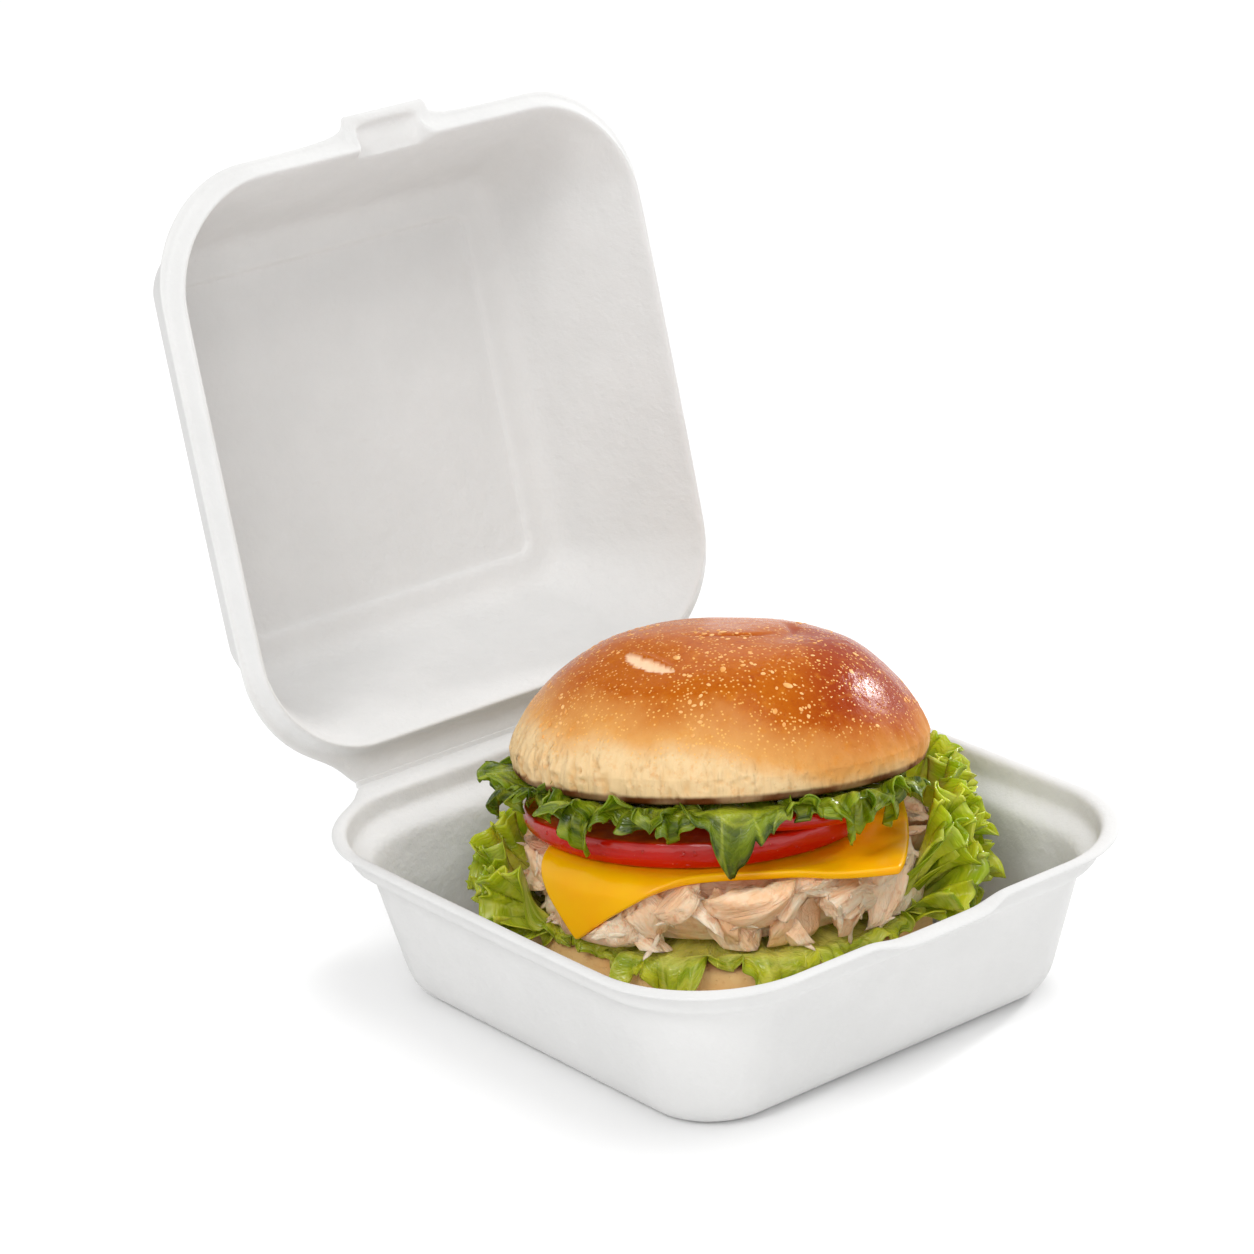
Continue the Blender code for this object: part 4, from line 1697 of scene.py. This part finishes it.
@dataclass
class Cheese:
    """The square slice, whose corners bend over the edge of the chicken."""

    half: float = 0.0428
    thick: float = 0.0021
    edge: float = 0.0460
    bend: float = 0.0056
    pull: float = 0.0046
    nip: float = 0.0040
    cells: int = 84

    def droop(self, azimuth: np.ndarray) -> np.ndarray:
        """How steeply the slice hangs over the edge, in radians, by direction in degrees."""
        angle = 53.0 + 30.0 * bump_at(turn_from(azimuth, -128.0), 0.0, 34.0)
        return np.radians(angle - 50.0 * bump_at(turn_from(azimuth, -47.0), 0.0, 30.0))

    def draped(self, x: np.ndarray, y: np.ndarray) -> np.ndarray:
        """Where points of the flat slice lie once it has bent over the stack's edge.

        Args:
            x: the points' places, to the right.
            y: the same, away from the viewer.

        Returns:
            The bent places.
        """
        distance = np.hypot(x, y)
        azimuth = np.degrees(np.arctan2(y, x))
        pull = smooth_step(azimuth, -158.0, -142.0) * (1.0 - smooth_step(azimuth, -122.0, -92.0))
        distance = distance + self.pull * pull * smooth_step(distance, 0.030, 0.047)
        over = np.maximum(distance - self.edge, 0.0)
        angle = np.minimum(over / self.bend, self.droop(azimuth))
        rest = over - self.bend * angle
        radius = np.minimum(distance, self.edge) + self.bend * np.sin(angle) + rest * np.cos(angle)
        drop = self.bend * (1.0 - np.cos(angle)) + rest * np.sin(angle)
        x = radius * np.cos(np.radians(azimuth))
        y = radius * np.sin(np.radians(azimuth))
        return np.stack([x, y, CHEESE_MIDDLE.at(y) - drop], -1)

    def build(self, waxy: bpy.types.Material) -> list:
        """The slice in place of its plain solid.

        Args:
            waxy: its finish.

        Returns:
            The finished piece, in a list.
        """
        line = np.linspace(-1.0, 1.0, self.cells)
        u, v = np.meshgrid(line, line)
        corner = 1.0 - 0.018 * (np.abs(u) * np.abs(v)) ** 12
        narrower = self.nip * np.maximum(u, 0.0) * np.maximum(-v, 0.0) ** 2
        points = self.draped(0.0004 + self.half * u * corner - narrower, -0.0024 + self.half * v * corner)
        points[..., 2] += 0.00025 * noise_at(points, 60.0, 8.0)
        obj = new_object("cheese_slice", grid_mesh("cheese_slice", points), waxy)
        thicken(obj, self.thick, 0.0)
        round_edge = obj.modifiers.new("soft_edge", "BEVEL")
        round_edge.width = 0.0006
        round_edge.segments = 3
        round_edge.limit_method = "ANGLE"
        round_edge.angle_limit = math.radians(50)
        put_in_tray(obj, "cheese", "cheese")
        return [obj]


@dataclass
class Chicken:
    """A layer of torn chicken: a core with angular flakes all round its side.

    A row of flakes is (share of the way up the layer, how many, size against the usual one).
    """

    rows: tuple = (
        (0.16, 12, 1.0),
        (0.48, 13, 1.1),
        (0.80, 12, 1.0),
        (0.30, 13, 0.6),
        (0.66, 13, 0.62),
        (0.08, 9, 0.6),
    )
    core: tuple = ((0.0006, 1.0), (0.030, 1.0), (0.0412, 0.97), (0.0424, 0.5), (0.0412, 0.03))
    cuts: int = 12
    curl: float = 0.0046
    detail: int = 4
    seed: int = 23

    def limit(self, z: np.ndarray, bottom: np.ndarray, top: np.ndarray) -> np.ndarray:
        """The stack's outer radius at a height between two levels, rounded towards both.

        Args:
            z: the heights.
            bottom: heights of the lower level there.
            top: heights of the upper level there.

        Returns:
            The radius at each height.
        """
        curl = self.curl
        beyond = np.maximum(np.maximum(z - (top - curl), (bottom + curl) - z), 0.0)
        return STACK_RADIUS - curl + np.sqrt(np.maximum(curl * curl - beyond**2, 0.0))

    def flake(
        self, ball: np.ndarray, rng: random.Random, azimuth: float, height: float, scale: float
    ) -> tuple:
        """One flake: a slab cut by planes, with ridges along its fibres, set against the stack's side.

        Args:
            ball: points on a ball of radius 1.
            rng: the flakes' random numbers.
            azimuth: where it lies round the stack, in radians.
            height: its share of the way up the layer.
            scale: its size against the usual one.

        Returns:
            The flake's points in the burger frame, their places along its fibres, and their tint.
        """
        p = ball.copy()
        for _ in range(self.cuts):
            normal = np.array([rng.gauss(0, 1) * 0.8, rng.gauss(0, 1), rng.gauss(0, 1)])
            normal /= np.linalg.norm(normal)
            beyond = p @ normal - rng.uniform(0.38, 0.72)
            p -= np.maximum(beyond, 0.0)[:, None] * normal * 0.96
        long = rng.uniform(0.0075, 0.0115)
        wide = rng.uniform(0.0050, 0.0064)
        deep = rng.uniform(0.0036, 0.0054)
        p *= np.array([long, wide, deep]) * (1.5 * scale)
        fibre = p + np.array([rng.uniform(0, 9), rng.uniform(0, 9), 0.0])
        tint = np.full(len(p), rng.uniform(0.15, 0.95))
        ridge = noise_at(p * (0.16, 1.0, 1.0), 480.0, rng.uniform(0, 50))
        bend = noise_at(p, 120.0, rng.uniform(0, 50))
        layer = noise_at(p * (0.4, 1.0, 1.0), 230.0, rng.uniform(0, 50)) * 3.0
        step = np.floor(layer) + smooth_step(layer - np.floor(layer), 0.70, 0.95)
        p *= (1.0 + 0.10 * ridge + 0.18 * bend + 0.085 * step)[:, None]
        p[:, 2] += rng.uniform(-18.0, 18.0) * p[:, 0] ** 2
        turn = Matrix.Rotation(rng.uniform(-1.3, 1.3), 3, "Y")
        turn = turn @ Matrix.Rotation(rng.uniform(-0.9, 0.9), 3, "X")
        turn = Matrix.Rotation(rng.uniform(-0.8, 0.8), 3, "Z") @ turn
        p = p @ np.array(turn).T
        radius = rng.uniform(0.0422, 0.0462) + 0.003 * (1.0 - scale)
        around = azimuth + p[:, 0] / radius
        distance = radius + p[:, 1]
        y = distance * np.sin(around)
        bottom = CHICKEN_BOTTOM.at(y)
        top = CHICKEN_TOP.at(y)
        z = bottom + height * (top - bottom) + p[:, 2]
        z = np.clip(z, bottom - 0.0004, top + 0.0002)
        distance = np.minimum(distance, self.limit(z, bottom, top) + 0.0020 + 0.30 * p[:, 1])
        return np.stack([distance * np.cos(around), distance * np.sin(around), z], -1), fibre, tint

    def inner(self) -> tuple:
        """The plain core that shows between the flakes.

        Returns:
            Its points, and its faces as lists of points.
        """
        core = turned_grid(np.array(self.core), 72)
        low = CHICKEN_BOTTOM.at(core[..., 1]) + 0.0004
        high = CHICKEN_TOP.at(core[..., 1]) - 0.0004
        core[..., 2] = low + core[..., 2] * (high - low)
        mesh = capped(grid_mesh("core", core, closed=True))
        places = np.array([v.co for v in mesh.vertices])
        return places, [list(f.vertices) for f in mesh.polygons]

    def build(self, flesh: bpy.types.Material) -> list:
        """The layer as one mesh in place of its plain solid, and shreds on it.

        Args:
            flesh: its finish.

        Returns:
            The finished pieces.
        """
        rng = random.Random(self.seed)
        bm = bmesh.new()
        bmesh.ops.create_icosphere(bm, subdivisions=self.detail, radius=1.0)
        ball = np.array([v.co for v in bm.verts])
        ball_faces = np.array([[v.index for v in f.verts] for f in bm.faces])
        bm.free()
        flakes = []
        faces = []
        for height, count, scale in self.rows:
            for k in range(count):
                azimuth = math.tau * (k + rng.uniform(-0.32, 0.32)) / count + height * 3.0
                faces += (ball_faces + len(ball) * len(flakes)).tolist()
                flakes.append(self.flake(ball, rng, azimuth, height + rng.uniform(-0.07, 0.07), scale))
        core, core_faces = self.inner()
        first = len(ball) * len(flakes)
        faces += [[first + i for i in face] for face in core_faces]
        flakes.append((core, core, np.full(len(core), 0.4)))
        places, fibres, tints = (np.concatenate(parts) for parts in zip(*flakes))
        mesh = bpy.data.meshes.new("flakes")
        mesh.from_pydata(places.tolist(), [], faces)
        set_value(mesh, "fibre", fibres)
        set_value(mesh, "tint", tints)
        set_value(mesh, "strew", smooth_step(np.hypot(places[:, 0], places[:, 1]), 0.0425, 0.0455))
        obj = new_object("chicken_flakes", mesh, flesh)
        put_in_tray(obj, "chicken", "chicken")
        shreds = Scatter("chicken_shreds", 7000.0, 0.0040, 0.0085, 3).over(obj, shred_mesh(rng), flesh)
        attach(shreds, "tray")
        return [obj, shreds]


@dataclass(frozen=True)
class Leaf:
    """A frilled leaf: an arc of a level, then a curve from the stack's edge past a bulge to a tip.

    Bulge and tip are (radius, height over the level) in metres; start and stop are in degrees.
    A lobe of its outline is (direction, half its width, reach): degrees, and 1 for the tip's reach.
    A further layer is (bulge, tip, degrees that it is turned by). Without lobes, ones are drawn by
    chance, pitch degrees apart. Point is 1 for lobes like triangles and 2 for round ones.
    Teeth is how far the teeth of its edge stand out.
    """

    name: str
    tone: LeafTone
    start: float
    stop: float
    level: Level
    bulge: tuple
    tip: tuple
    frill: float
    ruffles: float
    hem: float
    curl: float
    seed: float
    lobes: tuple = ()
    layers: tuple = ()
    pitch: float = 9.5
    point: float = 2.0
    teeth: float = 0.105


@dataclass
class Lettuce:
    """Every leaf of the two lettuce layers, each in place of its plain solid."""

    leaves: tuple = (
        Leaf(
            name="lettuce_lower_left",
            tone=LeafTone.BRIGHT,
            start=146,
            stop=208,
            level=LOWER,
            bulge=(0.0535, 0.006),
            tip=(0.0585, 0.014),
            frill=0.003,
            ruffles=3.4,
            hem=0.8,
            curl=0.0024,
            seed=1.0,
            layers=(
                ((0.053, 0.004), (0.062, 0.007), 5.0),
                ((0.053, 0.001), (0.0615, 0.0), 2.0),
                ((0.052, -0.001), (0.058, -0.0075), -4.0),
            ),
            pitch=8.0,
        ),
        Leaf(
            name="lettuce_lower_front",
            tone=LeafTone.BRIGHT,
            start=206,
            stop=262,
            level=LOWER,
            bulge=(0.0525, 0.001),
            tip=(0.0512, -0.01),
            frill=0.0018,
            ruffles=3.2,
            hem=0.2,
            curl=0.0014,
            seed=2.0,
            lobes=(
                (214, 7, 0.5),
                (226, 6, 0.5),
                (240, 8, 0.85),
                (253, 9, 1.25),
            ),
            point=1.5,
        ),
        Leaf(
            name="lettuce_lower_right",
            tone=LeafTone.BRIGHT,
            start=262,
            stop=328,
            level=LOWER,
            bulge=(0.053, 0.001),
            tip=(0.0514, -0.009),
            frill=0.002,
            ruffles=3.6,
            hem=0.22,
            curl=0.0014,
            seed=3.0,
            lobes=(
                (268, 5, 0.45),
                (282, 10, 1.2),
                (297, 8, 0.75),
                (310, 8, 0.6),
                (320, 8, 0.8),
            ),
            point=1.5,
        ),
        Leaf(
            name="lettuce_tall",
            tone=LeafTone.BRIGHT,
            start=328,
            stop=390,
            level=LOWER,
            bulge=(0.0525, 0.023),
            tip=(0.057, 0.029),
            frill=0.0028,
            ruffles=3.8,
            hem=0.84,
            curl=0.0026,
            seed=4.0,
            layers=(
                ((0.053, 0.018), (0.0605, 0.0225), 4.0),
                ((0.053, 0.012), (0.0625, 0.015), -5.0),
                ((0.053, 0.005), (0.064, 0.007), 3.0),
                ((0.0525, -0.001), (0.06, -0.0025), 1.0),
            ),
            pitch=7.5,
        ),
        Leaf(
            name="lettuce_lower_back",
            tone=LeafTone.BRIGHT,
            start=30,
            stop=146,
            level=LOWER,
            bulge=(0.0515, 0.001),
            tip=(0.051, -0.007),
            frill=0.0016,
            ruffles=6.0,
            hem=0.4,
            curl=0.0012,
            seed=5.0,
        ),
        Leaf(
            name="lettuce_upper_left",
            tone=LeafTone.DEEP,
            start=168,
            stop=262,
            level=UPPER,
            bulge=(0.055, 0.002),
            tip=(0.0538, -0.0115),
            frill=0.0026,
            ruffles=6.0,
            hem=0.2,
            curl=0.0015,
            seed=6.0,
            lobes=(
                (176, 6, 0.75),
                (187, 8, 0.95),
                (199, 7, 0.75),
                (212, 5, 0.45),
                (229, 10, 1.0),
                (243, 6, 0.72),
                (256, 8, 0.8),
            ),
            layers=(
                ((0.0545, 0.003), (0.0585, -0.002), 5.0),
            ),
            point=1.5,
        ),
        Leaf(
            name="lettuce_hanging",
            tone=LeafTone.DEEP,
            start=256,
            stop=288,
            level=UPPER,
            bulge=(0.056, 0.0015),
            tip=(0.0525, -0.0175),
            frill=0.0022,
            ruffles=1.2,
            hem=0.2,
            curl=0.0008,
            seed=7.0,
            lobes=(
                (263, 6, 0.5),
                (271.5, 9, 1.02),
                (281, 7, 0.62),
            ),
            point=1.6,
            teeth=0.03,
        ),
        Leaf(
            name="lettuce_upper_right",
            tone=LeafTone.DEEP,
            start=284,
            stop=336,
            level=UPPER,
            bulge=(0.0545, 0.002),
            tip=(0.053, -0.0105),
            frill=0.0024,
            ruffles=3.6,
            hem=0.22,
            curl=0.0014,
            seed=8.0,
            lobes=(
                (290, 5, 0.6),
                (304, 9, 1.0),
                (317, 7, 0.95),
                (327, 6, 0.7),
            ),
            layers=(
                ((0.0545, 0.0025), (0.056, -0.003), 6.0),
            ),
            point=1.5,
        ),
        Leaf(
            name="lettuce_upper_back",
            tone=LeafTone.DEEP,
            start=30,
            stop=170,
            level=UPPER,
            bulge=(0.0545, 0.002),
            tip=(0.0535, -0.0085),
            frill=0.0028,
            ruffles=9.0,
            hem=0.3,
            curl=0.0016,
            seed=9.0,
        ),
    )
    inner: float = 0.020
    turn: float = 0.0455
    thick: float = 0.00030
    root: float = 0.30

    def points(self, leaf: Leaf, layer: int) -> tuple:
        """The leaf's middle face.

        Args:
            leaf: its sizes.
            layer: 0 for the leaf itself, and 1 and up for its further layers.

        Returns:
            The points, the frill share and the flat places (along, across, 0) of each vertex.
        """
        bulge, tip, turned = ((leaf.bulge, leaf.tip, 0.0), *leaf.layers)[layer]
        seed = leaf.seed + 3.7 * layer
        columns = int((leaf.stop - leaf.start) * 2.8)
        along, across = np.meshgrid(np.linspace(0, 1, columns), np.linspace(0, 1, 30), indexing="ij")
        degrees = leaf.start + (leaf.stop - leaf.start) * along
        azimuth = np.radians(degrees)
        wander = noise_at(np.stack([along * leaf.ruffles, along * 0, along * 0], -1), 1.1, seed * 7.3)
        phase = math.tau * leaf.ruffles * along + 0.9 * wander
        share = np.clip((across - self.root) / (1.0 - self.root), 0.0, 1.0)
        reach = share * self.outline(leaf, degrees + turned)
        start, bulge, tip = (np.array(p) for p in ((self.turn, -0.0004 * layer), bulge, tip))
        s = reach[..., None]
        place = (start + (bulge - start) * s) * (1 - s) + (bulge + (tip - bulge) * s) * s
        way = (bulge - start) * (1 - s) + (tip - bulge) * s
        way /= np.linalg.norm(way, axis=-1, keepdims=True)
        phase = phase + seed
        twist = 0.8 * noise_at(np.stack([along * 9.0, share * 2.0, along * 0], -1), 1.0, seed)
        wave = leaf.frill * np.sin(phase) * share**1.3
        wave += leaf.curl * np.sin(2.7 * phase + seed + twist) * share**1.7
        wave += 0.30 * leaf.curl * np.sin(6.3 * phase + 2.0 * seed + 2.0 * twist) * share**3
        crumple = np.stack([along * leaf.ruffles * 3.0, share * 2.2, along * 0], -1)
        wave += 0.0009 * noise_at(crumple, 1.0, seed)
        side = -0.30 * leaf.frill * np.sin(2.0 * phase) * share**2
        side += -0.45 * leaf.curl * np.sin(5.4 * phase + seed + twist) * share**2
        stem = self.inner + (self.turn - self.inner) * np.minimum(across / self.root, 1.0)
        radius = stem + place[..., 0] - self.turn - wave * way[..., 1]
        around = azimuth + side / radius
        x = radius * np.cos(around)
        y = radius * np.sin(around)
        z = leaf.level.at(y) + place[..., 1] + wave * way[..., 0]
        x, y = self.inside(x, y, z)
        flat = np.stack([along * math.radians(leaf.stop - leaf.start) * 0.052, across * 0.035, along * 0], -1)
        return np.stack([x, y, z], -1), share, flat + seed * 0.013

    def inside(self, x: np.ndarray, y: np.ndarray, z: np.ndarray) -> tuple:
        """Pushes places in the burger frame back from the tray's walls.

        Args:
            x: places along the burger frame's X.
            y: places along its Y.
            z: their heights.

        Returns:
            The new x and y.
        """
        rings = sorted(Tray().rings(), key=lambda ring: ring.z)
        heights = [ring.z for ring in rings]
        half = np.interp(z, heights, [ring.half for ring in rings]) - 0.0007
        corner = np.interp(z, heights, [ring.radius for ring in rings])
        c = math.cos(BURGER_TURN)
        s = math.sin(BURGER_TURN)
        row = np.stack([c * x - s * y + BURGER_PLACE.x, s * x + c * y + BURGER_PLACE.y], -1)
        core = (half - corner)[..., None]
        beyond = np.maximum(np.abs(row) - core, 0.0)
        length = np.linalg.norm(beyond, axis=-1)
        shrink = np.minimum(corner / np.maximum(length, 1e-9), 1.0)
        row = np.sign(row) * (np.minimum(np.abs(row), core) + beyond * shrink[..., None])
        row -= np.array(BURGER_PLACE[:2])
        return c * row[..., 0] + s * row[..., 1], -s * row[..., 0] + c * row[..., 1]

    def outline(self, leaf: Leaf, degrees: np.ndarray) -> np.ndarray:
        """How far the leaf reaches in each direction: its hem, and pointed lobes beyond it.

        Args:
            leaf: its sizes.
            degrees: directions.

        Returns:
            The reach, 1 for the leaf's tip.
        """
        rng = random.Random(int(leaf.seed * 10))
        lobes = leaf.lobes
        if not lobes:
            count = round((leaf.stop - leaf.start) / leaf.pitch)
            middles = [leaf.start + (leaf.stop - leaf.start) * (k + 0.5) / count for k in range(count)]
            wide = leaf.pitch / 11.5
            lobes = [
                (m + rng.uniform(-2.5, 2.5) * wide, rng.uniform(6, 9) * wide, rng.uniform(0.75, 1.08))
                for m in middles
            ]
        reach = np.full_like(degrees, leaf.hem)
        for middle, half, length in lobes:
            off = np.clip(np.abs(degrees - middle + 0.12 * half) / half, 0.0, 1.0)
            lobe = leaf.hem + (length - leaf.hem) * (1.0 - off**leaf.point)
            reach = np.maximum(reach, lobe)
            for side in (-0.66, 0.60):
                tooth = np.clip(np.abs(degrees - middle - side * half) / (0.34 * half), 0.0, 1.0)
                base = leaf.hem + (length - leaf.hem) * (1.0 - abs(side) ** leaf.point)
                reach = np.maximum(reach, (base + 0.09 * length) * (1.0 - 0.30 * tooth) * (tooth < 1.0))
        step = degrees / 3.1 + 0.35 * np.sin(degrees * 0.9 + leaf.seed)
        tooth = 1.0 - np.abs(2.0 * (step - np.floor(step)) - 1.0) ** 0.8
        reach = reach + leaf.teeth * tooth * (0.6 + 0.4 * np.sin(degrees * 0.53 + 2.0 * leaf.seed)) - 0.04
        begun = smooth_step(degrees, leaf.start, leaf.start + 3)
        ended = smooth_step(degrees, leaf.stop - 3, leaf.stop)
        return reach * (0.25 + 0.75 * (begun * (1 - ended)))

    def build(self, deep: bpy.types.Material, bright: bpy.types.Material) -> list:
        """The leaves, thickened.

        Args:
            deep: finish of the upper leaves.
            bright: finish of the lower leaves.

        Returns:
            The finished leaves.
        """
        made = []
        for leaf in self.leaves:
            tone = deep if leaf.tone is LeafTone.DEEP else bright
            sheets = []
            for layer in range(1 + len(leaf.layers)):
                points, frill, flat = self.points(leaf, layer)
                mesh = grid_mesh(leaf.name, points)
                set_value(mesh, "frill", frill.reshape(-1))
                set_value(mesh, "sheet", flat.reshape(-1, 3))
                obj = new_object(leaf.name + "_leaf", mesh, tone)
                thicken(obj, self.thick, 0.0, even=False)
                sheets.append(settle(obj))
            made.append(put_in_tray(joined(sheets), "lettuce", leaf.name))
        return made


# Studio


@dataclass(frozen=True)
class Lamp:
    """A square soft light: its place, the length of its side and its power in watts."""

    name: str
    place: tuple
    size: float
    power: float

    def build(self) -> None:
        """Adds the light, turned to the burger."""
        lamp = bpy.data.lights.new(self.name, "AREA")
        lamp.size = self.size
        lamp.energy = self.power
        obj = bpy.data.objects.new(self.name, lamp)
        bpy.context.scene.collection.objects.link(obj)
        obj.location = self.place
        way = Vector((0.0, 0.0, 0.05)) - Vector(self.place)
        obj.rotation_euler = way.to_track_quat("-Z", "Y").to_euler()


@dataclass
class Studio:
    """A pale floor, soft lights and the camera at the photograph's angle."""

    azimuth: float = -0.6762
    elevation: float = 0.3681
    roll: float = -0.0483
    distance: float = 1.08727
    aim: tuple = (0.0135475, 0.0496212, 0.0749475)
    focus: float = 4436.66
    pixels: float = 1254.0
    sensor: float = 36.0
    floor_half: float = 6.0
    sky: float = 0.69
    lamps: tuple = (
        Lamp("key", (-1.20, -0.40, 1.15), 0.45, 6.5),
        Lamp("front", (-0.85, -1.10, 0.50), 0.60, 3.4),
        Lamp("far", (0.90, 1.30, 1.40), 1.2, 6.5),
        Lamp("side", (1.05, 0.07, 0.45), 0.12, 5.4),
        Lamp("top", (0.05, -0.40, 1.60), 0.8, 7.0),
    )

    def camera(self) -> None:
        """Places the camera as it was fitted to the box's outline."""
        a = self.azimuth
        e = self.elevation
        back = Vector((math.sin(a) * math.cos(e), -math.cos(a) * math.cos(e), math.sin(e)))
        right = (-back).cross(Vector((0.0, 0.0, 1.0))).normalized()
        up = right.cross(-back)
        c = math.cos(self.roll)
        s = math.sin(self.roll)
        right, up = right * c + up * s, up * c - right * s
        view = bpy.data.cameras.new("camera")
        view.sensor_width = self.sensor
        view.lens = self.sensor * self.focus / self.pixels
        view.clip_end = 20.0
        obj = bpy.data.objects.new("camera", view)
        bpy.context.scene.collection.objects.link(obj)
        matrix = Matrix((right, up, back)).transposed().to_4x4()
        matrix.translation = Vector(self.aim) + back * self.distance
        obj.matrix_world = matrix
        bpy.context.scene.camera = obj

    def floor(self) -> None:
        """A wide plain pale floor."""
        g = Graph("studio_floor", (0.96, 0.96, 0.96))
        colour = g.mix(g.noise(2.0), (0.955, 0.955, 0.955), (0.965, 0.965, 0.965))
        material = g.finish(colour, 0.9)
        mesh = bpy.data.meshes.new("floor")
        h = self.floor_half
        mesh.from_pydata([(-h, -h, 0), (h, -h, 0), (h, h, 0), (-h, h, 0)], [], [(0, 1, 2, 3)])
        new_object("floor", mesh, material)

    def build(self) -> None:
        """The whole studio."""
        scene = bpy.context.scene
        scene.view_settings.view_transform = "Standard"
        world = bpy.data.worlds.new("studio")
        world.use_nodes = True
        sky = world.node_tree.nodes["Background"]
        sky.inputs["Color"].default_value = (1.0, 1.0, 1.0, 1.0)
        sky.inputs["Strength"].default_value = self.sky
        scene.world = world
        self.floor()
        for lamp in self.lamps:
            lamp.build()
        self.camera()


def main() -> None:
    """Builds every sub-assembly in order and reports each piece."""
    logging.basicConfig(level=logging.INFO, format="%(name)s: %(message)s")
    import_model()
    pulp = PulpFinish().material("pulp_white")
    groups = (
        (Tray(), (pulp,)),
        (Lid(), (pulp,)),
        (HingeWeb(), (pulp,)),
        (Heel(), (CrumbFinish().material("crumb"),)),
        (Chicken(), (ChickenFinish().material("chicken_flesh"),)),
        (Cheese(), (CheeseFinish().material("cheese_wax"),)),
        (Tomatoes(), (TomatoFinish().material("tomato_wet"),)),
        (
            Lettuce(),
            (
                LettuceFinish(LeafTone.DEEP).material("lettuce_deep"),
                LettuceFinish(LeafTone.BRIGHT).material("lettuce_bright"),
            ),
        ),
        (TopBun(), (CrustFinish().material("crust"), BlisterFinish().material("crust_blister"))),
    )
    for group, materials in groups:
        for obj in group.build(*materials):
            LOG.info("%s: %s, %d vertices", type(group).__name__, obj.name, len(obj.data.vertices))
    Studio().build()


if __name__ == "__main__":
    main()
